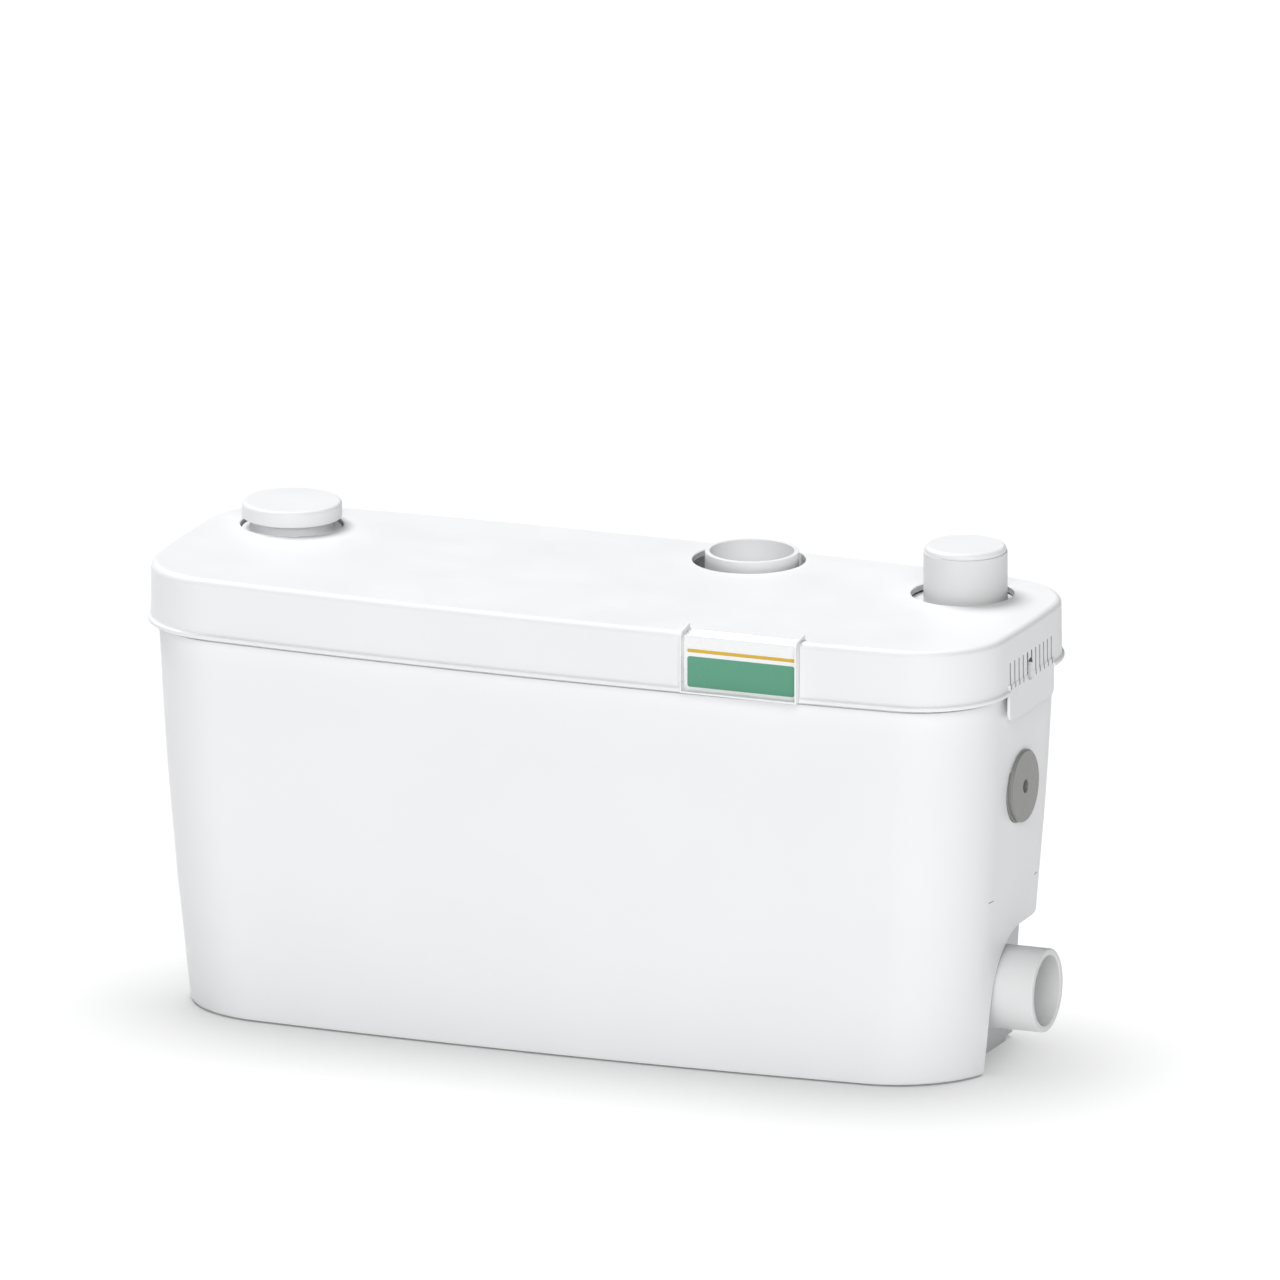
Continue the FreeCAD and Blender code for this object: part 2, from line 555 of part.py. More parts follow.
# ---------------------------------------------------------------- top inlet: stub, grommet, plug
ro = pipe_od / 2
rn = ro - 0.3
node(turned("top_inlet_body", [(18.0, 0), (rn, 0), (rn, 49.4), (27.0, 49.4), (27.0, 52.4), (rn, 52.6), (rn, 61.6), (26.8, 61.6),
                               (26.8, 64.4), (ro, 64.6), (ro, inlet_top - 150), (18.0, inlet_top - 150)], inlet_x, side_y, 150), "top_inlet_stub")
node(turned("top_inlet_seal_body", [(rn, 0), (26.0, 0), (26.0, 3.0), (ro + 1.6, 3.0), (ro + 1.6, 7.0), (26.0, 7.0), (26.0, 10.2), (rn, 10.2)],
            inlet_x, side_y, deck_low - 3.0), "top_inlet_seal")
node(turned("top_inlet_plug_body", [(17.7, 0), (17.7, 14.0), (ro - 0.6, 14.0), (ro - 0.6, 15.4), (18.6, 16.7), (17.0, 17.0), (0, 17.0), (0, 14.6),
                                    (15.8, 14.6), (15.8, 0)], inlet_x, side_y, inlet_top - 14.0), "top_inlet_plug")

# ---------------------------------------------------------------- side inlet: stub, seal, flap and pin
sx0 = 176.0
stub_body = turned("side_stub_turn", [(stub_ri, 0), (19.6, 0), (19.6, 4.5), (24.6, 4.5), (24.6, 7.5), (20.4, 7.5), (20.4, niche_wall - sx0), (stub_r, niche_wall - sx0),
                                      (stub_r, stub_end - sx0 - 0.7), (stub_r - 0.7, stub_end - sx0), (stub_ri + 0.5, stub_end - sx0),
                                      (stub_ri, stub_end - sx0 - 0.5)], sx0, 0, stub_z, "x")
ears = [box("stub_ear_a", 169.6, -11.0, stub_z + 19.4, 13.9, 3.0, 7.4), box("stub_ear_b", 169.6, 8.0, stub_z + 19.4, 13.9, 3.0, 7.4)]
pin_hole = cyl("flap_pin_hole", 1.5, 40, 172.4, -20, stub_z + 23.4, "y")
node(cut("side_stub_body", join("side_stub_plus", stub_body, *ears), pin_hole), "side_inlet_stub")
node(turned("side_seal_body", tube_pts(20.4, 24.6, 0, 1.5), niche_wall - TW - 1.5, 0, stub_z, "x"), "side_inlet_seal")
flap_disc = turned("flap_disc", [(0, 0), (19.0, 0), (19.0, 2.6), (15.8, 2.6), (15.8, 3.6), (0, 3.6)], 172.1, 0, stub_z, "x")
flap_arm = box("flap_arm", 172.1, -7.6, stub_z + 15.0, 2.6, 15.2, 8.4)
flap_hub = cyl("flap_hub", 3.4, 15.2, 172.4, -7.6, stub_z + 23.4, "y")
flap_bore = cyl("flap_bore", 1.56, 20, 172.4, -10, stub_z + 23.4, "y")
node(cut("flap_body", join("flap_plus", flap_disc, flap_arm, flap_hub), flap_bore), "side_inlet_flap")
node(turned("flap_pin_body", [(0, 0), (2.6, 0), (2.6, 1.2), (1.5, 1.2), (1.5, 24.6), (1.1, 25.0), (0, 25.0)],
            172.4, -12.2, stub_z + 23.4, "y"), "flap_pin")

# ---------------------------------------------------------------- grey blanking plug in the end wall
px = 209.7
node(turned("side_plug_body", [(3.2, 0), (plug_r, 0), (plug_r, 2.3), (plug_r - 0.8, 2.3), (plug_r - 0.8, 3.4), (plug_r - 0.2, 3.4), (plug_r - 0.2, 3.9),
                               (plug_r - 0.8, 4.5), (3.2, 4.5)],
            px, 0, plug_z, "x"), "side_plug")
node(turned("plug_bung_body", [(3.2, 0), (12.6, 0), (14.1, 1.6), (14.1, 10.2), (3.2, 10.2)], px - 10.2, 0, plug_z, "x"), "plug_bung")
socket = [(1.8 * math.cos(math.radians(60 * k)), 1.8 * math.sin(math.radians(60 * k))) for k in range(6)]
hexa_in = padded("plug_screw_socket", socket, 3.0)
hexa_in.Placement = FreeCAD.Placement(V(px + 0.6, 0, plug_z.value), FreeCAD.Rotation(V(0, 1, 0), 90))
node(cut("plug_screw_body", turned("plug_screw_turn", [(0, 0), (3.2, 0), (3.2, 16.6), (2.8, 17.0), (0, 17.0)], px - 14.6, 0, plug_z, "x"), hexa_in), "plug_screw")
node(turned("plug_washer_body", tube_pts(3.2, 11.0, 0, 2.2), px - 12.4, 0, plug_z, "x"), "plug_washer")

# ---------------------------------------------------------------- pump, bottom to top
P = (pump_x, 0)
strainer_turn = turned("strainer_turn", [(42.0, 0), (45.0, 0), (45.0, 16.0), (48.0, 16.0), (48.0, 18.0), (22.0, 18.0), (22.0, 15.0), (42.0, 15.0)],
                       pump_x, 0, 4.0)
gates = []
for i in range(9):
    g = doc.addObject("Part::Box", "strainer_gate_%d" % i)
    g.Length, g.Width, g.Height = 100.0, 9.0, 11.0
    a = i * 20.0
    rot = FreeCAD.Rotation(V(0, 0, 1), a)
    g.Placement = FreeCAD.Placement(V(pump_x.value, 0, 6.5) + rot.multVec(V(-50, -4.5, 0)), rot)
    gates.append(g)
node(cut("strainer_body", strainer_turn, *gates), "intake_strainer")

volute_turn = turned("volute_turn", [(15.0, 0), (50.0, 0), (50.0, 32.0), (44.0, 32.0), (44.0, 4.0), (15.0, 4.0)], pump_x, 0, 22.0)
spout = cyl("volute_spout", line_ro, 58.0, pump_x, line_y, line_z, "x")
chamber = cyl("volute_chamber", 44.0, 40.0, pump_x, 0, 26.0)
spout_bore = cyl("volute_spout_bore", line_ri, 62.0, pump_x + 1, line_y, line_z, "x")
volute_low = box("volute_low_trim", pump_x - 60, -70, 10, 120, 140, 12)
volute = cut("volute_body", join("volute_plus", volute_turn, spout), chamber, spout_bore,
             cyl("volute_seat", 44.0, 40.0, pump_x, 0, 54.0), volute_low,
             *[cyl("volute_screw_hole_%d" % i, 1.6, 12, pump_x + 47 * math.cos(math.radians(a)), 47 * math.sin(math.radians(a)), 44.0)
               for i, a in enumerate((-45, -135, 135, 180))])
node(volute, "volute_casing")

imp = [turned("impeller_turn", [(shaft_r, 0), (8.5, 0), (8.5, 12.0), (38.0, 12.0), (38.0, 15.0), (9.0, 15.0), (9.0, 18.0), (shaft_r, 18.0)], pump_x, 0, 28.0)]
for i in range(6):
    b = doc.addObject("Part::Box", "vane_%d" % i)
    b.Length, b.Width, b.Height = 30.0, 2.4, 10.0
    rot = FreeCAD.Rotation(V(0, 0, 1), 60.0 * i)
    b.Placement = FreeCAD.Placement(V(pump_x.value, 0, 31.0) + rot.multVec(V(7.5, -1.2, 0)), rot)
    imp.append(b)
node(join("impeller_body", *imp), "impeller")
hexa = [(7.4 * math.cos(math.radians(60 * k)), 7.4 * math.sin(math.radians(60 * k))) for k in range(6)]
node(cut("impeller_nut_body", padded("nut_hex", hexa, 4.0, pump_x, 0, 24.0), cyl("nut_bore", 3.5, 8.0, pump_x, 0, 22.0)), "impeller_nut")
node(turned("rotor_shaft_body", [(0, 0), (3.5, 0), (3.5, 4.8), (shaft_r, 4.8), (shaft_r, 122.0), (4.0, 123.0), (0, 123.0)],
            pump_x, 0, 23.2), "rotor_shaft")
node(turned("rotor_core_body", tube_pts(shaft_r, 21.0, 0, 44.0), pump_x, 0, 82.0), "rotor_core")

node(cut("pump_cover_body", turned("pump_cover_turn", [(9.0, 0), (43.8, 0), (43.8, 6.0), (50.0, 6.0), (50.0, 11.0), (43.2, 11.0), (43.2, 12.0),
                                                       (38.0, 12.0), (38.0, 15.0), (13.0, 15.0), (13.0, 10.0), (9.0, 10.0)], pump_x, 0, 48.0),
         *[cyl("cover_screw_hole_%d" % i, 2.2, 12, pump_x + 47 * math.cos(math.radians(a)), 47 * math.sin(math.radians(a)), 50.0)
           for i, a in enumerate((-45, -135, 135, 180))]), "pump_cover")
node(turned("shaft_seal_body", [(shaft_r + 0.06, 0), (9.0, 0), (9.0, 7.0), (7.0, 7.0), (7.0, 8.4), (shaft_r + 0.06, 8.4)], pump_x, 0, 49.4), "shaft_seal")
node(turned("lower_bearing_body", tube_pts(shaft_r + 0.05, 13.0, 0, 8.0), pump_x, 0, 58.0), "lower_bearing")
node(turned("upper_bearing_body", tube_pts(shaft_r + 0.05, 13.0, 0, 8.0), pump_x, 0, 138.0), "upper_bearing")
pscrews = [turned("pump_screw_%d" % i, [(0, 0), (1.6, 0), (1.6, 13.0), (3.6, 13.0), (3.6, 16.0), (2.0, 16.0), (2.0, 14.6), (0, 14.6)],
                  pump_x + 47 * math.cos(math.radians(a)), 47 * math.sin(math.radians(a)), 46.0)
           for i, a in enumerate((-45, -135, 135, 180))]
group("pump_screws", "pump_screw_set", pscrews)

stator_slots = []
for i in range(12):
    b = doc.addObject("Part::Box", "stator_slot_%d" % i)
    b.Length, b.Width, b.Height = 12.0, 4.0, 60.0
    rot = FreeCAD.Rotation(V(0, 0, 1), 30.0 * i)
    b.Placement = FreeCAD.Placement(V(pump_x.value, 0, 75.0) + rot.multVec(V(20.5, -2.0, 0)), rot)
    stator_slots.append(b)
node(cut("stator_core_body", turned("stator_turn", tube_pts(21.6, 38.0, 0, 44.0), pump_x, 0, 82.0), *stator_slots), "stator_core")
coil = [(24.0, 0), (34.0, 0), (36.0, 2.0), (36.0, 7.0), (33.0, 10.0), (26.5, 10.0), (24.0, 7.5)]
bars = []
for i in range(12):
    b = doc.addObject("Part::Box", "coil_bar_%d" % i)
    b.Length, b.Width, b.Height = 8.0, 3.4, 46.0
    rot = FreeCAD.Rotation(V(0, 0, 1), 30.0 * i)
    b.Placement = FreeCAD.Placement(V(pump_x.value, 0, 81.0) + rot.multVec(V(24.2, -1.7, 0)), rot)
    bars.append(b)
node(join("windings_body", turned("coil_top", coil, pump_x, 0, 126.0), turned("coil_low", [(24.0, 0), (33.0, 0), (36.0, 3.0), (36.0, 10.0), (24.0, 10.0)], pump_x, 0, 72.0),
          *bars), "stator_windings")

node(turned("motor_housing_body", [(38.0, 0), (43.2, 0), (43.2, 3.0), (41.6, 4.0), (41.6, 73.0), (44.0, 74.0), (44.0, 78.0), (38.0, 78.0)],
            pump_x, 0, 60.0), "motor_housing")
cap_turn = turned("motor_cap_turn", [(13.0, 6.0), (36.6, 6.0), (36.6, 0), (37.8, 0), (37.8, 6.0), (44.0, 6.0), (44.0, 9.0), (41.0, 12.0), (38.5, 20.0), (36.0, 21.0), (0, 21.0),
                                     (0, 14.4), (13.0, 14.4)], pump_x, 0, 132.0)
node(cut("motor_cap_body", cap_turn, cyl("cap_lead_hole", 3.6, 10, pump_x + 20, 16, 146.0),
         *[cyl("cap_screw_hole_%d" % i, 1.6, 6, pump_x + 26 * math.cos(math.radians(a)), 26 * math.sin(math.radians(a)), 149.0)
           for i, a in enumerate((0, 90, 180, 270))]), "motor_cap")
dampers = [turned("damper_%d" % i, [(3.0, 0), (9.0, 0), (9.0, 3.0), (7.4, 7.85), (9.0, 12.7), (9.0, 15.7), (3.0, 15.7)], pump_x + a, b, 153.0)
           for i, (a, b) in enumerate(POSTS)]
damper_plates = [cyl("damper_foot_%d" % i, 3.0, 15.7, pump_x + a, b, 153.0) for i, (a, b) in enumerate(POSTS)]
group("pump_dampers", "pump_damper_set", dampers)
group("damper_studs", "damper_stud_set", damper_plates)
node(cyl("motor_lead_body", 3.5, 196.2 - 149.0 + 6, pump_x + 20, 16, 149.0), "motor_lead")
node(turned("lead_grommet_body", [(3.5, 0), (8.0, 0), (8.0, 2.0), (6.0, 2.0), (6.0, 6.0), (8.0, 6.0), (8.0, 8.0), (3.5, 8.0)],
            pump_x + 20, 16, deck_low - 2.0), "lead_grommet")

# ---------------------------------------------------------------- discharge line
LY, LZ, DX = line_y.value, line_z.value, disch_x.value
node(solid("discharge_elbow_body", swept([(-2.0, LY, LZ), (DX, LY, LZ), (DX, LY, 78.0)], [26.0], line_ri.value, line_ro.value)), "discharge_elbow")
node(turned("check_valve_body_turn", [(line_ri, 0), (line_ro, 0), (line_ro, 9.0), (21.0, 14.0), (21.0, 44.0), (line_ro, 50.0), (line_ro, 56.0), (line_ri, 56.0),
                                      (line_ri, 48.0), (18.0, 42.0), (18.0, 16.0), (line_ri, 10.0)], disch_x, line_y, 78.0), "check_valve_body")
ball = doc.addObject("Part::Sphere", "check_ball")
ball.Radius = 14.5
put(ball, disch_x, line_y, 78.0 + 10.0 + 8.9)
node(ball, "check_valve_ball")
guides = []
for i in range(3):
    b = doc.addObject("Part::Box", "ball_stop_%d" % i)
    b.Length, b.Width, b.Height = 19.0, 2.4, 3.0
    rot = FreeCAD.Rotation(V(0, 0, 1), 120.0 * i + 30.0)
    b.Placement = FreeCAD.Placement(V(DX, LY, 124.0) + rot.multVec(V(0, -1.2, 0)), rot)
    guides.append(b)
node(common("ball_stop_body", join("ball_stop_plus", *guides), cyl("ball_stop_trim", line_ri, 20, disch_x, line_y, 120)), "ball_stop")
node(solid("riser_pipe_body", swept([(DX, LY, 134.0), (DX, LY, 146.0), (DX, disch_y.value, 171.0), (DX, disch_y.value, 182.0)], [22.0, 22.0],
                                    line_ri.value, line_ro.value)), "riser_pipe")
sleeves = [turned("sleeve_a", tube_pts(line_ro, 17.6, 0, 16), -10.0, line_y, line_z, "x"),
           turned("sleeve_b", tube_pts(line_ro, 17.6, 0, 14), disch_x, line_y, 71.0),
           turned("sleeve_c", tube_pts(line_ro, 17.6, 0, 7), disch_x, line_y, 130.0)]
group("hose_sleeves", "hose_sleeve_set", sleeves)
bands = [turned("band_a", tube_pts(17.6, 18.4, 0, 5), -8.0, line_y, line_z, "x"),
         turned("band_b", tube_pts(17.6, 18.4, 0, 5), disch_x, line_y, 73.0),
         turned("band_c", tube_pts(17.6, 18.4, 0, 5), disch_x, line_y, 131.0)]
group("hose_bands", "hose_band_set", bands)

# ---------------------------------------------------------------- level control
node(turned("dip_tube_body", [(11.0, 0), (13.0, 0), (13.0, deck_top - 16), (20.0, deck_top - 16), (20.0, 182.4), (23.0, 183.4), (23.0, 185.4),
                              (20.6, 185.4), (20.6, 184.6), (11.0, 182.0)], bell_x, bell_y, 16.0), "dip_tube")
node(turned("diaphragm_body", [(0, 0), (5.0, 0), (5.0, 0.6), (14.0, 0.2), (17.0, 1.0), (20.4, 1.0), (20.4, 2.0), (16.4, 2.0), (14.0, 1.2), (5.0, 1.6), (0, 1.6)],
            bell_x, bell_y, 200.6), "switch_diaphragm")
node(turned("switch_cap_body", [(3.3, 3.6), (8.0, 3.6), (16.0, 2.6), (20.4, 0.2), (20.4, -0.8), (23.0, -1.2), (23.0, 1.6), (17.5, 4.6), (8.0, 5.6), (3.3, 5.6)],
            bell_x, bell_y, 202.6), "switch_cap")
node(turned("plunger_body", [(0, 0), (6.0, 0), (6.0, 1.0), (3.2, 1.0), (3.2, 7.2), (2.6, 7.8), (0, 7.8)], bell_x, bell_y, 202.5), "switch_plunger")
node(join("micro_switch_body", box("ms_case", bell_x - 10, bell_y + 4.5, 208.3, 20, 6.4, 6.6), box("ms_lever", bell_x - 8, bell_y - 2.0, 213.0, 12, 6.6, 0.4)),
     "micro_switch")

# ---------------------------------------------------------------- electrics on the deck
bx0, by0, bl, bw = -126.0, -56.0, 104.0, 42.0
box_out = box("ebox_out", bx0, by0, deck_top, bl, bw, 14.0)
box_in = box("ebox_in", bx0 + 2, by0 + 2, deck_top + 2, bl - 4, bw - 4, 20.0)
node(cut("ebox_body", box_out, box_in, cyl("ebox_lead_hole", 4.0, 10, -108, by0 + bw - 5, 204.0, "y")), "control_box")
node(join("ebox_cover_body", box("ebox_cover", bx0, by0, 210.2, bl, bw, 2.0), box("ebox_cover_step", bx0 + 2.2, by0 + 2.2, 208.6, bl - 4.4, bw - 4.4, 1.7)),
     "control_box_cover")
board = box("board_plate", bx0 + 4, by0 + 4, 199.2, 56.0, bw - 8, 1.6)
relay = box("board_relay", bx0 + 12, by0 + 8, 200.7, 16.0, 12.0, 6.4)
term = box("board_terminal", bx0 + 34, by0 + 8, 200.7, 22.0, 9.0, 6.0)
standoffs = [cyl("board_post_%d" % i, 2.4, 1.0, bx0 + a, by0 + b, 198.2) for i, (a, b) in enumerate(((8, 8), (55, 8), (8, 34), (55, 34)))]
node(join("board_body", board, relay, term, *standoffs), "control_board")
node(turned("capacitor_body", [(0, 0), (4.4, 0), (5.0, 0.6), (5.0, 33.4), (4.4, 34.0), (0, 34.0)], bx0 + 64, by0 + 21, 203.3, "x"), "motor_capacitor")
gland = turned("gland_turn", [(3.4, 0), (6.0, 0), (6.0, 6.0), (8.6, 6.0), (8.6, 9.4), (7.4, 9.8), (7.4, 15.6), (5.6, 17.4), (3.4, 17.4)], -100, 60.0, 205.2, "y")
node(gland, "cable_gland")
gnut_pts = [(8.8 * math.cos(math.radians(60 * k)), 8.8 * math.sin(math.radians(60 * k))) for k in range(6)]
gnut = padded("gland_nut_hex", gnut_pts, 3.0)
gnut.Placement = FreeCAD.Placement(V(-100, 59.0, 205.2), FreeCAD.Rotation(V(1, 0, 0), -90))
node(cut("gland_nut_body", gnut, cyl("gland_nut_bore", 6.0, 8, -100, 57, 205.2, "y")), "gland_nut")

# ---------------------------------------------------------------- check and write
doc.recompute()
bad = [o.Name for o in doc.Objects if "Invalid" in o.State or "Error" in o.State]
if bad:
    raise SystemExit("failed objects: " + ", ".join(bad))
for o in doc.Objects:
    if o.TypeId == "Sketcher::SketchObject" and o.solve() != 0:
        raise SystemExit("sketch does not solve: " + o.Name)
os.makedirs("parts", exist_ok=True)
for o in NODES:
    s = o.Shape
    if s.isNull() or not s.isValid() or not s.Solids:
        raise SystemExit("bad shape: " + o.Label)
    print("%-22s solids %d  volume %.1f cm3  x %.1f..%.1f y %.1f..%.1f z %.1f..%.1f" % (
        o.Label, len(s.Solids), s.Volume / 1000, s.BoundBox.XMin, s.BoundBox.XMax, s.BoundBox.YMin, s.BoundBox.YMax,
        s.BoundBox.ZMin, s.BoundBox.ZMax))
for o in NODES:
    o.Shape.exportStep("parts/%s.step" % o.Label)
print("nodes:", len(NODES))
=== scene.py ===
import bpy
import bmesh
import json
import math
from mathutils import Vector, Matrix


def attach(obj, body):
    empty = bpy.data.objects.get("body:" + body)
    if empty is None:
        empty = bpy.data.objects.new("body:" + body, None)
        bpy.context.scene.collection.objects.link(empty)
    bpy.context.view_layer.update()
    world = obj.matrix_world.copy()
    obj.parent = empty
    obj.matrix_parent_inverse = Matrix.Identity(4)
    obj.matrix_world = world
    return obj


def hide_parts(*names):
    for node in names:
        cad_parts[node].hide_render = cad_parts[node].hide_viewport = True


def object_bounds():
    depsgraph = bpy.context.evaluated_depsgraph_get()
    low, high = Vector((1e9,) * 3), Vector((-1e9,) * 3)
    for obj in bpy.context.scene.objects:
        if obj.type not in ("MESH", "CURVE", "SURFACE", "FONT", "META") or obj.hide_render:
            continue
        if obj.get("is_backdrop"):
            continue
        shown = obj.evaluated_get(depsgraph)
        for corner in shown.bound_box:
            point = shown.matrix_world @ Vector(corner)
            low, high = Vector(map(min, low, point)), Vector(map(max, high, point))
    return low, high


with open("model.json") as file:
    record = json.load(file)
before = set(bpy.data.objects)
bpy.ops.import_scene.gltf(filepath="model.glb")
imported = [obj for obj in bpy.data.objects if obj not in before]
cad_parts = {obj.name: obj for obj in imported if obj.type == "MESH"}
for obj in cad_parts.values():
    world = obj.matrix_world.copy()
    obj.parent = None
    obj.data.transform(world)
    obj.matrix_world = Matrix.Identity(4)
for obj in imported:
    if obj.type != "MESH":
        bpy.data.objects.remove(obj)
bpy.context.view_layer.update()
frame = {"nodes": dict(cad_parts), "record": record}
NODES = frame["nodes"]
SLOT_OF = {s["node"]: s["material_slot"] for s in frame["record"]["subparts"]}
MM = 0.001


# ---------------------------------------------------------------- materials
def shader(name):
    mat = bpy.data.materials.new(name)
    mat.use_nodes = True
    nt = mat.node_tree
    bsdf = nt.nodes["Principled BSDF"]
    coord = nt.nodes.new("ShaderNodeTexCoord")
    return mat, nt, bsdf, coord.outputs["Object"]


def noise(nt, vec, scale, detail=2.0, rough=0.5):
    n = nt.nodes.new("ShaderNodeTexNoise")
    n.inputs["Scale"].default_value = scale
    n.inputs["Detail"].default_value = detail
    n.inputs["Roughness"].default_value = rough
    nt.links.new(vec, n.inputs["Vector"])
    return n.outputs["Fac"]


def ramp(nt, fac, stops):
    r = nt.nodes.new("ShaderNodeValToRGB")
    while len(r.color_ramp.elements) < len(stops):
        r.color_ramp.elements.new(0.5)
    for e, (pos, col) in zip(r.color_ramp.elements, stops):
        e.position = pos
        e.color = (*col, 1.0)
    nt.links.new(fac, r.inputs["Fac"])
    return r.outputs["Color"]


def spread(nt, fac, lo, hi):
    m = nt.nodes.new("ShaderNodeMapRange")
    m.inputs["From Min"].default_value = 0.3
    m.inputs["From Max"].default_value = 0.7
    m.inputs["To Min"].default_value = lo
    m.inputs["To Max"].default_value = hi
    nt.links.new(fac, m.inputs["Value"])
    return m.outputs["Result"]


def bump(nt, bsdf, height, distance, strength=1.0):
    b = nt.nodes.new("ShaderNodeBump")
    b.inputs["Distance"].default_value = distance
    b.inputs["Strength"].default_value = strength
    nt.links.new(height, b.inputs["Height"])
    nt.links.new(b.outputs["Normal"], bsdf.inputs["Normal"])
    return b


def scaled(nt, vec, sx, sy, sz):
    m = nt.nodes.new("ShaderNodeMapping")
    m.inputs["Scale"].default_value = (sx, sy, sz)
    nt.links.new(vec, m.inputs["Vector"])
    return m.outputs["Vector"]


def moulded(name, dark, light, rough=(0.36, 0.46), grain=0.000012, grain_scale=1400.0, spec=0.4, coat=0.0):
    # injection-moulded plastic: faint cloudiness in the pigment, uneven satin, fine spark-eroded grain
    mat, nt, bsdf, vec = shader(name)
    cloud = noise(nt, vec, 9.0, 3.0, 0.55)
    nt.links.new(ramp(nt, cloud, [(0.3, dark), (0.7, light)]), bsdf.inputs["Base Color"])
    nt.links.new(spread(nt, noise(nt, vec, 34.0, 4.0, 0.6), *rough), bsdf.inputs["Roughness"])
    bump(nt, bsdf, noise(nt, vec, grain_scale, 3.0, 0.6), grain, 0.6)
    bsdf.inputs["Specular IOR Level"].default_value = spec
    if coat:
        bsdf.inputs["Coat Weight"].default_value = coat
        bsdf.inputs["Coat Roughness"].default_value = 0.12
    return mat


def brushed(name, dark, light, rough=(0.24, 0.4), stretch=(40.0, 40.0, 900.0), metallic=1.0):
    # drawn or turned metal: long fine scratches and dull patches
    mat, nt, bsdf, vec = shader(name)
    lines = noise(nt, scaled(nt, vec, *stretch), 6.0, 4.0, 0.7)
    nt.links.new(ramp(nt, lines, [(0.25, dark), (0.75, light)]), bsdf.inputs["Base Color"])
    nt.links.new(spread(nt, noise(nt, vec, 60.0, 4.0, 0.6), *rough), bsdf.inputs["Roughness"])
    bump(nt, bsdf, lines, 0.00002, 0.5)
    bsdf.inputs["Metallic"].default_value = metallic
    return mat


def rubbery(name, dark, light):
    mat, nt, bsdf, vec = shader(name)
    nt.links.new(ramp(nt, noise(nt, vec, 120.0, 5.0, 0.6), [(0.3, dark), (0.7, light)]), bsdf.inputs["Base Color"])
    nt.links.new(spread(nt, noise(nt, vec, 200.0, 3.0, 0.5), 0.62, 0.8), bsdf.inputs["Roughness"])
    bump(nt, bsdf, noise(nt, vec, 2200.0, 3.0, 0.6), 0.00003, 0.6)
    bsdf.inputs["Specular IOR Level"].default_value = 0.3
    return mat


def stacked(name, dark, light, pitch):
    # thin sheets or wire turns, one above another
    mat, nt, bsdf, vec = shader(name)
    w = nt.nodes.new("ShaderNodeTexWave")
    w.wave_type = "BANDS"
    w.bands_direction = "Z"
    w.inputs["Scale"].default_value = 0.314 / pitch
    w.inputs["Distortion"].default_value = 0.6
    w.inputs["Detail"].default_value = 2.0
    nt.links.new(vec, w.inputs["Vector"])
    nt.links.new(ramp(nt, w.outputs["Fac"], [(0.15, dark), (0.75, light)]), bsdf.inputs["Base Color"])
    nt.links.new(spread(nt, noise(nt, vec, 150.0, 3.0, 0.6), 0.3, 0.5), bsdf.inputs["Roughness"])
    bump(nt, bsdf, w.outputs["Fac"], 0.00015, 0.8)
    bsdf.inputs["Metallic"].default_value = 0.85
    return mat


def granular(name, dark, light, scale):
    mat, nt, bsdf, vec = shader(name)
    v = nt.nodes.new("ShaderNodeTexVoronoi")
    v.inputs["Scale"].default_value = scale
    nt.links.new(vec, v.inputs["Vector"])
    nt.links.new(ramp(nt, v.outputs["Distance"], [(0.1, light), (0.7, dark)]), bsdf.inputs["Base Color"])
    bump(nt, bsdf, v.outputs["Distance"], 0.0006, 0.9).invert = True
    bsdf.inputs["Roughness"].default_value = 0.7
    return mat


def board(name):
    mat, nt, bsdf, vec = shader(name)
    v = nt.nodes.new("ShaderNodeTexVoronoi")
    v.distance = "MANHATTAN"
    v.feature = "F1"
    v.inputs["Scale"].default_value = 260.0
    nt.links.new(vec, v.inputs["Vector"])
    nt.links.new(ramp(nt, v.outputs["Distance"], [(0.18, (0.30, 0.34, 0.16)), (0.24, (0.015, 0.10, 0.045)), (0.8, (0.02, 0.13, 0.06))]),
                 bsdf.inputs["Base Color"])
    nt.links.new(spread(nt, noise(nt, vec, 90.0, 3.0), 0.3, 0.45), bsdf.inputs["Roughness"])
    bump(nt, bsdf, v.outputs["Distance"], 0.00004, 0.6)
    return mat


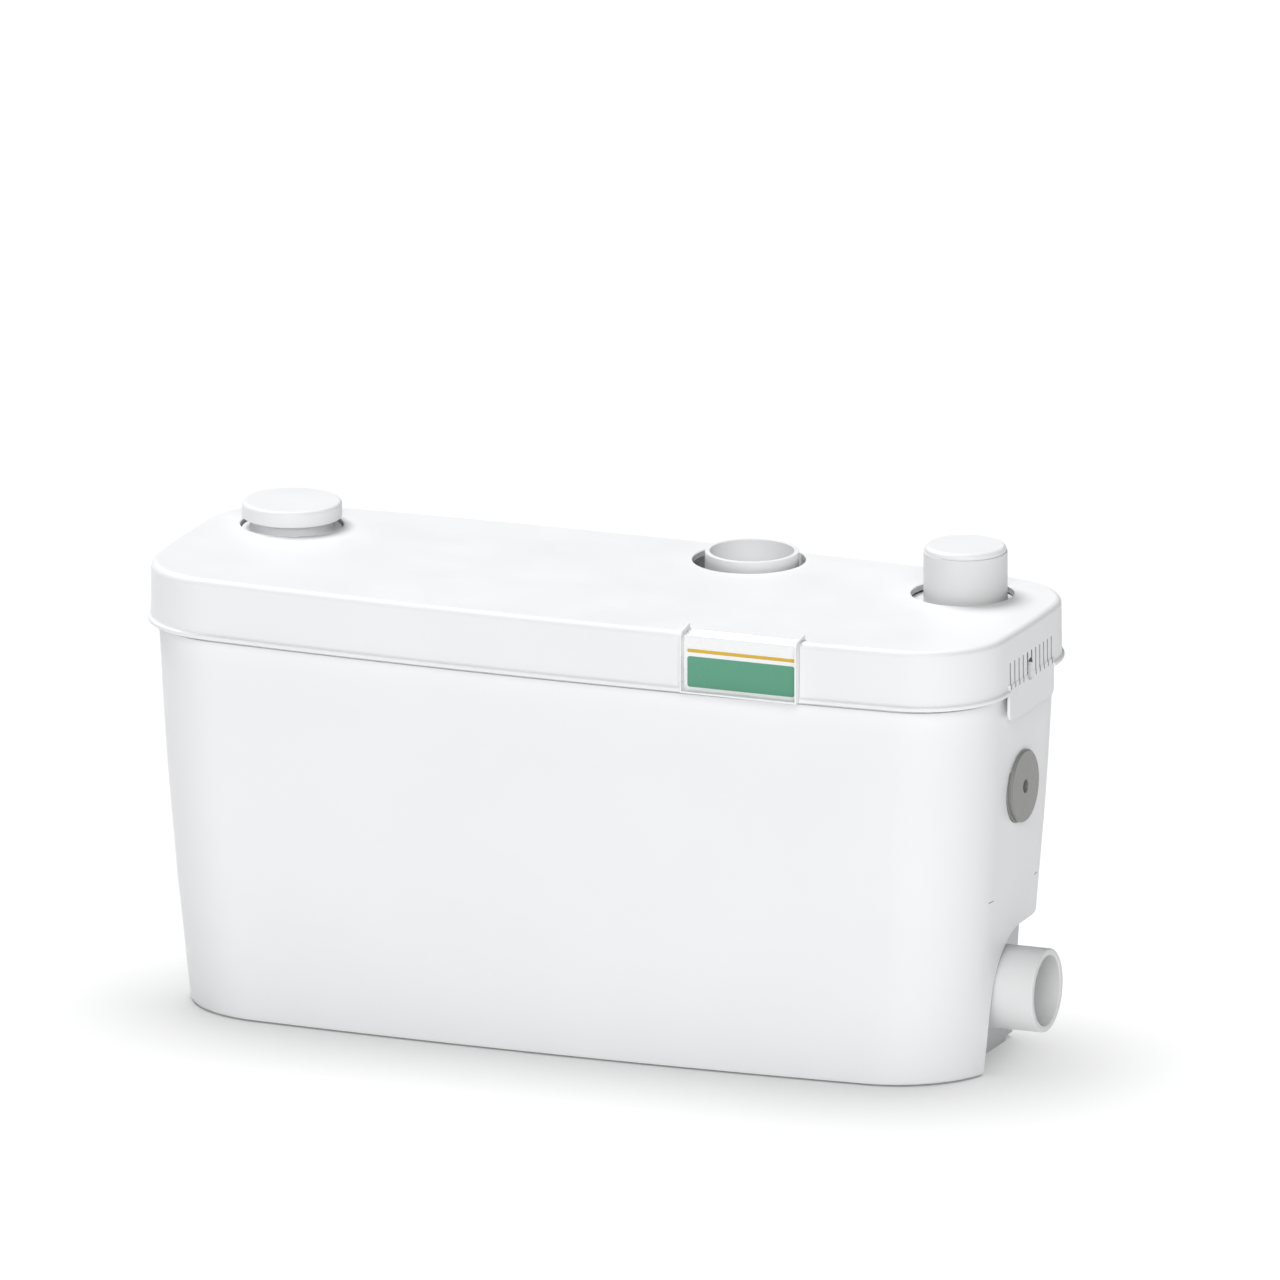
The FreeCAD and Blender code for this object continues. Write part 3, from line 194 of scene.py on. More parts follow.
MAT = {
    "shell_white": moulded("shell_white", (0.800, 0.806, 0.816), (0.822, 0.827, 0.836)),
    "deck_white": moulded("deck_white", (0.66, 0.67, 0.685), (0.70, 0.71, 0.72), rough=(0.4, 0.52)),
    "label_plate": moulded("label_plate", (0.84, 0.845, 0.85), (0.86, 0.863, 0.868), rough=(0.22, 0.3), grain=0.000004),
    "pipe_white": moulded("pipe_white", (0.713, 0.716, 0.720), (0.732, 0.734, 0.738)),
    # painted shade: darker copy of the shell plastic for the niche walls and soffit, standing in for the shade in the
    # niche
    "niche_painted_shade": moulded("niche_painted_shade", (0.585, 0.590, 0.600), (0.605, 0.610, 0.620)),
    # painted shade: near-black copy of the shell plastic standing in for the dark opening of the snap windows
    "window_painted_shade": moulded("window_painted_shade", (0.10, 0.101, 0.104), (0.13, 0.131, 0.134)),
    # painted shadow: dark copy of the shell plastic for the contact shadow line along the tank's foot
    "foot_painted_shadow": moulded("foot_painted_shadow", (0.10, 0.10, 0.10), (0.13, 0.13, 0.13)),
    # painted shade: darker copy of the shell plastic for groove walls and lid bore walls, standing in for the shade
    # inside them
    "slot_painted_shade": moulded("slot_painted_shade", (0.40, 0.402, 0.406), (0.43, 0.432, 0.436)),
    "grey_plug": moulded("grey_plug", (0.222, 0.222, 0.216), (0.246, 0.246, 0.239), rough=(0.26, 0.36), grain=0.00002, spec=0.5),
    "rubber": rubbery("rubber", (0.020, 0.020, 0.021), (0.034, 0.034, 0.035)),
    "steel": brushed("steel", (0.50, 0.50, 0.49), (0.68, 0.68, 0.67)),
    "dark_steel": brushed("dark_steel", (0.075, 0.075, 0.078), (0.13, 0.13, 0.135), rough=(0.3, 0.42)),
    "motor_case": brushed("motor_case", (0.42, 0.43, 0.44), (0.58, 0.59, 0.60), rough=(0.3, 0.45)),
    "laminations": stacked("laminations", (0.10, 0.105, 0.11), (0.30, 0.31, 0.32), 0.0005),
    "copper": stacked("copper", (0.32, 0.10, 0.035), (0.72, 0.32, 0.14), 0.0009),
    "bearing_bronze": brushed("bearing_bronze", (0.42, 0.30, 0.12), (0.62, 0.46, 0.22)),
    "black_plastic": moulded("black_plastic", (0.022, 0.022, 0.024), (0.034, 0.034, 0.036), rough=(0.38, 0.52), grain=0.00003),
    "carbon": granular("carbon", (0.008, 0.008, 0.008), (0.05, 0.05, 0.05), 700.0),
    "board_green": board("board_green"),
    "capacitor_case": brushed("capacitor_case", (0.56, 0.56, 0.56), (0.72, 0.72, 0.72), rough=(0.25, 0.35)),
    "label_green": moulded("label_green", (0.098, 0.315, 0.205), (0.106, 0.335, 0.220), rough=(0.24, 0.32), grain=0.000004),
    "label_gold": moulded("label_gold", (0.62, 0.40, 0.030), (0.68, 0.44, 0.040), rough=(0.24, 0.32), grain=0.000004),
}

for name, obj in NODES.items():
    mat = MAT[SLOT_OF[name]]
    if not obj.material_slots:
        obj.data.materials.append(mat)
    for s in obj.material_slots:
        s.material = mat


# ---------------------------------------------------------------- mesh helpers (millimetres in, metres out)
def fillet(pts, closed=True, step=14.0):
    # outline of (x, y[, radius]) corners, the corners with a radius turned into fine arcs
    out = []
    n = len(pts)
    for i, p in enumerate(pts):
        r = p[2] if len(p) > 2 else 0.0
        b = Vector(p[:2])
        if r <= 0 or (not closed and i in (0, n - 1)):
            out.append((b.x, b.y))
            continue
        a, c = Vector(pts[i - 1][:2]), Vector(pts[(i + 1) % n][:2])
        u, w = (a - b), (c - b)
        lu, lw = u.length, w.length
        u.normalize()
        w.normalize()
        ang = u.angle(w)
        if ang > math.radians(179):
            out.append((b.x, b.y))
            continue
        t = r / math.tan(ang / 2)
        lim = 0.48 * min(lu, lw)
        if t > lim:
            t = lim
            r = t * math.tan(ang / 2)
        p0, p1 = b + u * t, b + w * t
        ce = b + (u + w).normalized() * (r / math.sin(ang / 2))
        a0 = math.atan2(p0.y - ce.y, p0.x - ce.x)
        a1 = math.atan2(p1.y - ce.y, p1.x - ce.x)
        d = (a1 - a0 + math.pi) % (2 * math.pi) - math.pi
        k = max(2, math.ceil(abs(d) / math.radians(step)))
        for j in range(k + 1):
            q = a0 + d * j / k
            out.append((ce.x + r * math.cos(q), ce.y + r * math.sin(q)))
    return out


def raw(name, verts, faces):
    me = bpy.data.meshes.new(name)
    me.from_pydata([tuple(c * MM for c in v) for v in verts], [], faces)
    me.validate()
    o = bpy.data.objects.new(name, me)
    bpy.context.scene.collection.objects.link(o)
    bm = bmesh.new()
    bm.from_mesh(me)
    bmesh.ops.recalc_face_normals(bm, faces=bm.faces)
    bm.to_mesh(me)
    bm.free()
    return o


def turn_points(r, h, q, centre, axis):
    c, s = r * math.cos(q), r * math.sin(q)
    x, y, z = centre
    if axis == "z":
        return (x + c, y + s, z + h)
    if axis == "x":
        return (x + h, y + c, z + s)
    return (x + c, y + h, z - s)


def lathe(name, profile, centre, axis="z", n=128, step=14.0):
    # closed outline of (r, height[, radius]) turned round an axis; points at r 0 become poles
    pts = fillet(profile, True, step)
    verts, ids = [], []
    for r, h in pts:
        if r < 1e-6:
            ids.append([len(verts)] * n)
            verts.append(turn_points(0, h, 0, centre, axis))
        else:
            ids.append(list(range(len(verts), len(verts) + n)))
            verts += [turn_points(r, h, 2 * math.pi * k / n, centre, axis) for k in range(n)]
    faces = []
    m = len(pts)
    for i in range(m):
        a, b = ids[i], ids[(i + 1) % m]
        if a[0] == a[1] and b[0] == b[1]:
            continue
        for k in range(n):
            l = (k + 1) % n
            f = [a[k], a[l], b[l], b[k]]
            g = []
            for v in f:
                if v not in g:
                    g.append(v)
            if len(g) > 2:
                faces.append(g)
    return raw(name, verts, faces)


def plan_pts(A, B, s, se, R, n1=26, n2=22, n3=8):
    # rounded rectangle whose four sides bow outwards; same number of points at every level
    Rf = (A * A + s * s) / (2 * s)
    Re = (B * B + se * se) / (2 * se)
    cf, ce = (0.0, -B + Rf), (A - Re, 0.0)
    d1, d2 = Rf - R, Re - R
    dx, dy = ce[0] - cf[0], ce[1] - cf[1]
    d = math.hypot(dx, dy)
    a = (d1 * d1 - d2 * d2 + d * d) / (2 * d)
    hh = math.sqrt(max(d1 * d1 - a * a, 0.0))
    mx, my = cf[0] + a * dx / d, cf[1] + a * dy / d
    c1 = (mx - hh * dy / d, my + hh * dx / d)
    c2 = (mx + hh * dy / d, my - hh * dx / d)
    c = c1 if (c1[0] > 0 and c1[1] < 0) else c2
    q1 = math.atan2(c[1] - cf[1], c[0] - cf[0])
    q2 = math.atan2(c[1] - ce[1], c[0] - ce[0])
    quad = []
    for k in range(n1):
        q = -math.pi / 2 + (q1 + math.pi / 2) * k / n1
        quad.append((cf[0] + Rf * math.cos(q), cf[1] + Rf * math.sin(q)))
    for k in range(n2):
        q = q1 + (q2 - q1) * k / n2
        quad.append((c[0] + R * math.cos(q), c[1] + R * math.sin(q)))
    for k in range(n3 + 1):
        q = q2 + (0 - q2) * k / n3
        quad.append((ce[0] + Re * math.cos(q), ce[1] + Re * math.sin(q)))
    right = quad + [(x, -y) for x, y in reversed(quad[:-1])]
    return right + [(-x, y) for x, y in reversed(right[1:-1])]


def loft(name, levels, **kw):
    # closed solid through (z, A, B, s, se, R) plan outlines
    rings = [[(x, y, lv[0]) for x, y in plan_pts(*lv[1:], **kw)] for lv in levels]
    n = len(rings[0])
    verts = [v for r in rings for v in r]
    faces = [[i * n + k, i * n + (k + 1) % n, (i + 1) * n + (k + 1) % n, (i + 1) * n + k]
             for i in range(len(rings) - 1) for k in range(n)]
    faces.append(list(range(n)))
    faces.append([(len(rings) - 1) * n + k for k in range(n)])
    return raw(name, verts, faces)


def prism(name, outline, lo, hi, axis="z", round_=0.0, seg=3):
    # outline extruded along an axis; outline is (x, y) for z, (y, z) for x, (x, z) for y
    def p(a, b, t):
        return (a, b, t) if axis == "z" else (t, a, b) if axis == "x" else (a, t, b)
    n = len(outline)
    verts = [p(a, b, lo) for a, b in outline] + [p(a, b, hi) for a, b in outline]
    faces = [[k, (k + 1) % n, n + (k + 1) % n, n + k] for k in range(n)]
    faces += [list(range(n)), [n + k for k in range(n)]]
    o = raw(name, verts, faces)
    if round_:
        soften(o, round_, seg)
    return o


def block(name, x0, y0, z0, x1, y1, z1, round_=0.0, seg=3):
    return prism(name, [(x0, y0), (x1, y0), (x1, y1), (x0, y1)], z0, z1, "z", round_, seg)


def flatten(o):
    # turns the object's modifiers into its mesh
    dg = bpy.context.evaluated_depsgraph_get()
    dg.update()
    me = bpy.data.meshes.new_from_object(o.evaluated_get(dg))
    old = o.data
    o.modifiers.clear()
    o.data = me
    bpy.data.meshes.remove(old)
    return o


def soften(o, width, seg=3, angle=30.0):
    m = o.modifiers.new("edge", "BEVEL")
    m.width = width * MM
    m.segments = seg
    m.limit_method = "ANGLE"
    m.angle_limit = math.radians(angle)
    m.use_clamp_overlap = True
    return flatten(o)


def merged(name, objs):
    # several separate closed meshes as one object
    bm = bmesh.new()
    for o in objs:
        bm.from_mesh(o.data)
        me = o.data
        bpy.data.objects.remove(o)
        bpy.data.meshes.remove(me)
    me = bpy.data.meshes.new(name)
    bm.to_mesh(me)
    bm.free()
    o = bpy.data.objects.new(name, me)
    bpy.context.scene.collection.objects.link(o)
    return o


def boole(o, other, op="DIFFERENCE", self_=False):
    m = o.modifiers.new("b", "BOOLEAN")
    m.object = other
    m.operation = op
    m.solver = "EXACT"
    m.use_self = self_
    flatten(o)
    me = other.data
    bpy.data.objects.remove(other)
    bpy.data.meshes.remove(me)
    return o


def tidy(o, dist=0.002):
    bm = bmesh.new()
    bm.from_mesh(o.data)
    bmesh.ops.remove_doubles(bm, verts=bm.verts, dist=dist * MM)
    bmesh.ops.dissolve_degenerate(bm, edges=bm.edges, dist=dist * MM)
    loose = [v for v in bm.verts if not v.link_faces]
    bmesh.ops.delete(bm, geom=loose, context="VERTS")
    bm.to_mesh(o.data)
    bm.free()
    return o


def finish_piece(o, name, body, mat, node=None, angle=32.0):
    o.name = name
    o.data.name = name
    o.data.materials.clear()
    o.data.materials.append(MAT[mat])
    for p in o.data.polygons:
        p.material_index = 0
    o.data.shade_smooth()
    o.data.set_sharp_from_angle(angle=math.radians(angle))
    w = o.modifiers.new("normals", "WEIGHTED_NORMAL")
    w.keep_sharp = True
    w.weight = 60
    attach(o, body)
    if node:
        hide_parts(*([node] if isinstance(node, str) else node))
    return o


def paint_shade(o, mat, test):
    # painted shade: recessed faces that little light reaches take a darker copy of the same plastic, colour standing in
    # for their shade
    if MAT[mat].name not in [m.name for m in o.data.materials]:
        o.data.materials.append(MAT[mat])
    k = [m.name for m in o.data.materials].index(MAT[mat].name)
    for p in o.data.polygons:
        if test(p.center / MM, p.normal):
            p.material_index = k


def arc_levels(maker, z0, i0, r, top=True, n=6):
    # quarter round from a wall at inset i0 to a flat face at height z0
    out = []
    for k in range(n + 1):
        q = math.pi / 2 * k / n
        out.append(maker(z0 - r + r * math.sin(q), i0 + r - r * math.cos(q)))
    return out


# ---------------------------------------------------------------- lid
LIP, TOP = 189.3, 218.4


def lid_level(z, i):
    return (z, 218.5 - i, 81.5 - i, 9.1, 4.0, 43.0 - i)


def flared(name, r, x, y, z0=180.0, f=0.5, top=TOP):
    # round cutter whose mouth opens along a fillet, so the hole's rim comes out rounded
    pts = [(0, z0), (r, z0)]
    for k in range(0, 6):
        q = math.radians(80.0 * k / 5)
        pts.append((r + f - f * math.cos(q), top - f + f * math.sin(q)))
    pts += [(pts[-1][0], top + 8), (0, top + 8)]
    return lathe(name, pts, (x, y, 0), "z", 160)


lip = [(LIP, 0.62), (LIP + 0.10, 0.30), (LIP + 0.34, 0.08), (LIP + 0.7, 0.0), (LIP + 1.5, 0.0), (LIP + 1.85, 0.09), (LIP + 2.1, 0.30),
       (LIP + 2.3, 0.66), (LIP + 2.55, 0.98), (LIP + 2.9, 1.18), (LIP + 3.5, 1.26)]
levels = [lid_level(z, i) for z, i in lip]
levels += arc_levels(lid_level, TOP, 1.45, 3.0, n=8)
lid = loft("lid_shell", levels)
lw = 1.45 + 2.5
inner = [lid_level(LIP - 5, lw - 0.15), lid_level(TOP - 3.0 - 1.2, lw - 0.01)]
inner += [lid_level(TOP - 3.0 - 1.2 + 1.2 * math.sin(q), lw + 1.2 - 1.2 * math.cos(q)) for q in (0.4, 0.8, 1.2, math.pi / 2)]
boole(lid, loft("lid_hollow", inner))


def tab_solid(name, sx):
    o = prism(name, fillet([(-28.5, 194.0), (-28.5, 176.0, 4.0), (28.5, 176.0, 4.0), (28.5, 194.0)]),
              min(sx * 215.9, sx * 217.4), max(sx * 215.9, sx * 217.4), "x")
    return soften(o, 0.35, 3, 60)


boole(lid, merged("lip_trims", [block("trim_r", 217.4, -28.5, LIP - 1, 222.4, 28.5, LIP + 3.2),
                                block("trim_l", -222.4, -28.5, LIP - 1, -217.4, 28.5, LIP + 3.2)]))
boole(lid, merged("tabs", [tab_solid("tab_r", 1), tab_solid("tab_l", -1)]), "UNION")
boole(lid, merged("legs", [lathe("leg", [(0, 196.2), (4.0, 196.2, 0.5), (4.0, 216.4), (0, 216.4)], (a, b, 0), "z", 48)
                           for a, b in [(-190, -35), (192, -35), (0, -62), (-12, 62), (134, 58)]]), "UNION")
boole(lid, merged("lid_holes", [flared("h1", 24.6, -175.3, 37.5), flared("h2", 27.0, 50.3, 57.0), flared("h3", 24.6, 167.0, 37.5)]))
boole(lid, prism("plate_pocket", [(-69.3, 230.0), (-69.3, 217.35), (-76.0, 215.95), (-76.0, 180.0), (-100.0, 180.0), (-100.0, 230.0)], 69.4, 129.2, "x"))
gap = [(-100 + 9.2 * math.cos(math.radians(q)), 205.2 + 9.2 * math.sin(math.radians(q))) for q in range(0, 181, 10)]
boole(lid, prism("gland_gap", [(-90.8, 180.0)] + gap + [(-109.2, 180.0)], 72.0, 84.0, "y"))
grooves, windows = [], []
for sx in (1, -1):
    lo, hi = (215.8, 219.8) if sx > 0 else (-219.8, -215.8)
    for i in range(-5, 6):
        y = i * 5.25
        pts = fillet([(y - 0.65, 191.4, 0.45), (y + 0.65, 191.4, 0.45), (y + 0.65, 204.8, 0.45), (y - 0.65, 204.8, 0.45)], True, 30)
        grooves.append(prism("groove", pts, lo, hi, "x"))
    ring = [(-1.8 + 3.0 * math.cos(math.radians(q)), 198.3 + 3.0 * math.sin(math.radians(q))) for q in range(0, 181, 12)]
    ring += [(-1.8 + 3.0 * math.cos(math.radians(q)), 193.3 + 3.0 * math.sin(math.radians(q))) for q in range(180, 361, 12)]
    windows.append(prism("window", ring, 211.0 if sx > 0 else -220.0, 220.0 if sx > 0 else -211.0, "x"))
boole(lid, merged("grooves", grooves))
boole(lid, merged("windows", windows))
tidy(lid)
finish_piece(lid, "outer_lid_shell", "lid", "shell_white", "outer_lid")
# painted shade on the end grooves' walls and bottoms, darker colour in place of the shade inside them
paint_shade(lid, "slot_painted_shade", lambda c, n: 215.7 < abs(c.x) < 217.5 and abs(c.y) < 27.3 and abs(c.y + 1.8) > 3.2 and 190.7 < c.z < 205.0
         and (abs(n.y) > 0.4 or abs(c.x) < 215.9))
# painted shade on the upper walls of the snap windows, near black in place of the shade in the opening
paint_shade(lid, "window_painted_shade", lambda c, n: 215.7 < abs(c.x) < 217.5 and abs(c.y + 1.8) < 3.2 and c.z > 197.0 and n.y < -0.2)
BORES = [(24.6, -175.3, 37.5), (27.0, 50.3, 57.0), (24.6, 167.0, 37.5)]
# painted shade on the walls of the three lid bores, darker colour in place of the shade inside them
paint_shade(lid, "slot_painted_shade", lambda c, n: 215.0 < c.z < 217.92 and abs(n.z) < 0.5 and any(abs(math.hypot(c.x - x, c.y - y) - r) < 0.3 for r, x, y in BORES))

# ---------------------------------------------------------------- name plate: tray, raised edges and a plain two-band print
tray = prism("tray", fillet([(-69.4, 218.4, 0.45), (-77.0, 216.8, 1.2), (-77.0, LIP), (-76.0, LIP), (-76.0, 215.95, 0.6), (-69.4, 217.35)]), 69.9, 128.7, "x")
edge_pts = fillet([(-69.4, 221.0, 0.5), (-79.6, 219.2, 0.9), (-81.3, 217.3, 0.9), (-81.3, LIP, 0.3), (-76.5, LIP), (-76.5, 216.3), (-69.4, 217.8)])
rib_l = soften(prism("rib_l", edge_pts, 69.5, 70.4, "x"), 0.18, 2, 50)
rib_r = soften(prism("rib_r", edge_pts, 128.2, 129.1, "x"), 0.18, 2, 50)
ledge = soften(block("ledge", 69.8, -81.3, LIP, 128.8, -76.5, LIP + 0.9), 0.2, 2)
boole(tray, rib_l, "UNION")
boole(tray, rib_r, "UNION")
boole(tray, ledge, "UNION")
tidy(tray)
finish_piece(tray, "name_plate_tray", "lid", "label_plate", "name_plate")


def decal(name, x0, x1, z0, z1, r, mat):
    o = prism(name, fillet([(x0, z0, r), (x1, z0, r), (x1, z1, r), (x0, z1, r)]), -77.12, -77.0, "y")
    return finish_piece(o, name, "lid", mat)


decal("label_band_green", 72.0, 126.6, 191.6, 206.6, 1.2, "label_green")
decal("label_band_gold", 72.0, 126.6, 208.6, 210.2, 0.5, "label_gold")

# ---------------------------------------------------------------- vent
VX, SY, DT = -175.3, 37.5, 196.2
neck = lathe("neck", [(15.0, 0), (23.5, 0), (23.5, 2.6, 0.5), (20.0, 3.0, 1.0), (20.0, 17.4, 0.6), (24.0, 17.4, 0.4), (24.0, 20.2, 0.5),
                      (20.0, 20.3, 0.4), (20.0, 25.8, 0.5), (17.0, 25.8, 0.5), (17.0, 2.0), (15.0, 2.0)], (VX, SY, DT))
finish_piece(neck, "vent_neck_pipe", "station", "shell_white", "vent_neck")
cap = lathe("cap", [(16.7, 0, 0.4), (16.7, 4.2), (23.8, 4.2, 0.5), (23.8, 11.9, 1.8), (11.0, 12.15), (0, 12.2),
                    (0, 7.2), (14.7, 7.2, 0.8), (14.7, 0, 0.4)], (VX, SY, 217.9), step=9)
finish_piece(cap, "vent_cap_top", "vent_closure", "shell_white", "vent_cap")

# ---------------------------------------------------------------- discharge socket
sock = lathe("socket", [(13.0, 0), (15.5, 0), (15.5, 14.2), (17.8, 14.2), (17.8, 17.2), (22.4, 17.2, 0.6), (22.4, 40.8, 0.3), (20.05, 40.8, 0.3),
                        (20.05, 19.6, 0.5), (13.0, 19.6, 0.6)], (51.8, 57.0, 182.0), n=144)
finish_piece(sock, "discharge_socket_cup", "station", "shell_white", "discharge_socket")

# ---------------------------------------------------------------- top inlet
IX = 168.5
stub = lathe("inlet", [(18.0, 0), (19.7, 0), (19.7, 49.4), (27.0, 49.4, 0.4), (27.0, 52.4, 0.5), (19.7, 52.6, 0.8), (19.7, 61.6, 0.5),
                       (26.8, 61.6, 0.4), (26.8, 64.4, 0.6), (20.0, 64.5, 0.8), (20.0, 89.3, 0.25), (18.0, 89.3)], (IX, SY, 150.0), n=144)
finish_piece(stub, "top_inlet_pipe", "station", "pipe_white", "top_inlet_stub")
plug = lathe("plug", [(17.7, 0, 0.4), (17.7, 14.0), (19.4, 14.0, 0.15), (19.4, 15.7, 0.9), (18.2, 16.95, 1.5), (0, 17.0), (0, 14.6), (15.8, 14.6, 0.8), (15.8, 0, 0.4)],
             (IX, SY, 225.3), n=144, step=10)
finish_piece(plug, "top_inlet_cap", "inlet_closure", "shell_white", "top_inlet_plug")

# ---------------------------------------------------------------- side inlet
side = lathe("side", [(16.9, 0), (19.6, 0), (19.6, 4.5), (24.6, 4.5, 0.4), (24.6, 7.5), (20.4, 7.5), (20.4, 12.5), (20.1, 12.5), (20.1, 49.3, 0.8),
                      (16.9, 49.3, 0.7)], (176.0, 0.0, 38.0), "x", n=144)
ears = merged("ears", [block("e1", 169.6, -11.0, 57.4, 183.5, -8.0, 64.8), block("e2", 169.6, 8.0, 57.4, 183.5, 11.0, 64.8)])
boole(side, ears, "UNION")
boole(side, lathe("pin_hole", [(0, 0), (1.5, 0), (1.5, 40), (0, 40)], (172.4, -20, 61.4), "y", 32))
tidy(side)
finish_piece(side, "side_inlet_pipe", "station", "pipe_white", "side_inlet_stub")

# ---------------------------------------------------------------- grey plug and its screw
PX, PZ = 209.7, 137.4
disc = lathe("disc", [(3.2, 0), (17.7, 0, 0.3), (17.7, 2.3, 0.3), (16.9, 2.3, 0.1), (16.9, 3.4, 0.1), (17.5, 3.4, 0.12), (17.5, 4.0, 0.3), (17.0, 4.5, 0.35), (3.2, 4.5, 0.3)], (PX, 0, PZ), "x", n=144)
finish_piece(disc, "grey_plug_disc", "blank_plug", "grey_plug", "side_plug")
screw = lathe("screw", [(0, 0), (3.2, 0, 0.4), (3.2, 16.6, 0.2), (2.8, 17.0, 0.2), (0, 17.0)], (PX - 14.6, 0, PZ), "x", n=96)
boole(screw, prism("socket", [(1.8 * math.cos(math.radians(60 * k)), PZ + 1.8 * math.sin(math.radians(60 * k))) for k in range(6)], PX + 0.6, PX + 3.6, "x"))
tidy(screw)
finish_piece(screw, "plug_screw_socket", "blank_plug", "dark_steel", "plug_screw")

# ---------------------------------------------------------------- tank
TANK = [(3.0, 9.9, 10.9), (63.0, 7.0, 7.0), (126.0, 3.0, 2.5), (187.5, 0.0, 0.0)]


def tank_level(z, e, k):
    soft = 9.0 * max(0.0, (63.0 - z) / 60.0)
    return (z, 214.0 - e, 77.0 - k, 8.6 - 0.04 * k, 3.0 - 0.05 * k, 42.0 - 0.1 * k + soft)


def drawn_in(z):
    # insets of end and side at a height, smooth through the CAD's levels
    if z >= TANK[-1][0]:
        return TANK[-1][1:]
    if z <= TANK[0][0]:
        return TANK[0][1:]
    i = max(j for j in range(len(TANK) - 1) if TANK[j][0] <= z)
    out = []
    for c in (1, 2):
        sl = [(TANK[j + 1][c] - TANK[j][c]) / (TANK[j + 1][0] - TANK[j][0]) for j in range(len(TANK) - 1)]
        mt = [sl[0]] + [(sl[j] + sl[j + 1]) / 2 for j in range(len(sl) - 1)] + [sl[-1]]
        h = TANK[i + 1][0] - TANK[i][0]
        t = (z - TANK[i][0]) / h
        out.append((2 * t ** 3 - 3 * t * t + 1) * TANK[i][c] + (t ** 3 - 2 * t * t + t) * h * mt[i]
                   + (-2 * t ** 3 + 3 * t * t) * TANK[i + 1][c] + (t ** 3 - t * t) * h * mt[i + 1])
    return tuple(out)


def tank_at(z, grow=0.0):
    e, k = drawn_in(z)
    return tank_level(z, e + grow, k + grow)


zs = [3.0 + (187.5 - 0.4 - 3.0) * i / 22 for i in range(23)]
outer = []
for q in range(0, 7):
    a = math.pi / 2 * q / 6
    outer.append(tank_level(1.8 - 1.8 * math.cos(a), 9.96 + 1.5 * (1 - math.sin(a)), 10.98 + 1.5 * (1 - math.sin(a))))
outer += [tank_at(z) for z in zs[1:]]
outer += [tank_level(187.38, 0.1, 0.1), tank_level(187.5, 0.35, 0.35), tank_level(187.52, 0.8, 0.8), tank_level(191.0, 0.8, 0.8)]
tank = loft("tank_shell", outer)
hollow = [tank_level(4.0, 9.9 + 5.5, 10.9 + 5.5), tank_level(4.6, 9.9 + 4.1, 10.9 + 4.1), tank_level(6.0, 9.8 + 3.5, 10.7 + 3.5)]
hollow += [tank_at(z, 3.5) for z in zs[2:]] + [tank_level(211.0, 3.5, 3.5)]
cavity = loft("cavity", hollow)


def niche(name, x0, grow, x1=250.0):
    # front edge sweeps out of the top edge, leans forward, then runs almost straight down
    y1, z1, r = -15.7 - 0.8055 * grow, 66.8 + grow, 33.5 + grow
    run = math.hypot(1.0, 0.218)
    t = r / math.tan(math.acos(-0.218 / run) / 2)
    a, cy, cz = (y1 - t * 0.218 / run, z1 - t / run), y1 + t, z1 - r
    knee = (y1 - 0.218 * (z1 - 33.0), 33.0)
    low = (knee[0] - 0.3, 23.0)
    pts = [(knee[0] - 1.29, -10.0)]
    for q in [i / 8 for i in range(8)]:
        pts.append(tuple((1 - q) ** 2 * low[c] + 2 * q * (1 - q) * knee[c] + q * q * a[c] for c in (0, 1)))
    qa = math.atan2(a[1] - cz, a[0] - cy)
    pts += [(cy + r * math.cos(q), cz + r * math.sin(q)) for q in [qa + (math.pi / 2 - qa) * i / 28 for i in range(29)]]
    pts += [(120.0, z1), (120.0, -10.0)]
    return prism(name, pts, x0, x1, "x")


boole(cavity, niche("keep", 185.0, 3.5))
boole(tank, cavity)
bosses = merged("bosses", [lathe("boss", [(0, 172), (5.5, 172, 1.5), (5.5, 190.98), (0, 190.98)], (a, b, 0), "z", 48)
                           for a, b in [(-150, -65.6), (-50, -69.4), (50, -69.4), (150, -65.6), (-150, 65.6), (-40, 69.5), (108, 67.6)]])
boole(tank, bosses, "UNION")
boole(tank, niche("niche", 188.5, 0.0))
boole(tank, lathe("stub_hole", [(0, -8), (20.5, -8), (20.5, 4), (0, 4)], (188.5, 0, 38.0), "x", 144))
boole(tank, lathe("plug_hole", [(0, 0), (14.4, 0), (14.4, 11.7), (18.0, 11.7), (18.0, 14.0), (0, 14.0)], (198.0, 0, PZ), "x", 144))
boole(tank, merged("ticks", [block("t1", 206.6, -31.2, 86.6, 210.6, -25.8, 87.2), block("t2", 206.6, 25.8, 86.6, 210.6, 31.2, 87.2)]))
boole(tank, block("foot_relief", 150, 38.6, -1, 210, 88.6, 2.2))
tidy(tank)
finish_piece(tank, "tank_body", "station", "shell_white", "tank")
# painted contact shadow on the faces of the tank's lowest 0.42 mm
paint_shade(tank, "foot_painted_shadow", lambda c, n: c.z < 0.42 and n.z > -0.985)
# painted shade on the niche's back wall, soffit and side wall
paint_shade(tank, "niche_painted_shade", lambda c, n: c.z > 3.3 and c.z < 66.9 and ((abs(c.x - 188.5) < 0.2 and n.x > 0.9)
                                                                        or (c.x > 188.6 and (n.z < -0.3 or n.y > 0.3))))

# ---------------------------------------------------------------- sealed deck under the lid
SCREWS = [(-150, -64.8), (-50, -68.8), (50, -68.8), (150, -64.8), (-150, 64.8), (-40, 68.9), (108, 66.9), (-205.8, 0), (205.8, 0)]


def drill(name, r, x, y, z0, z1, n=64):
    return lathe(name, [(0, z0), (r, z0), (r, z1), (0, z1)], (x, y, 0), "z", n)


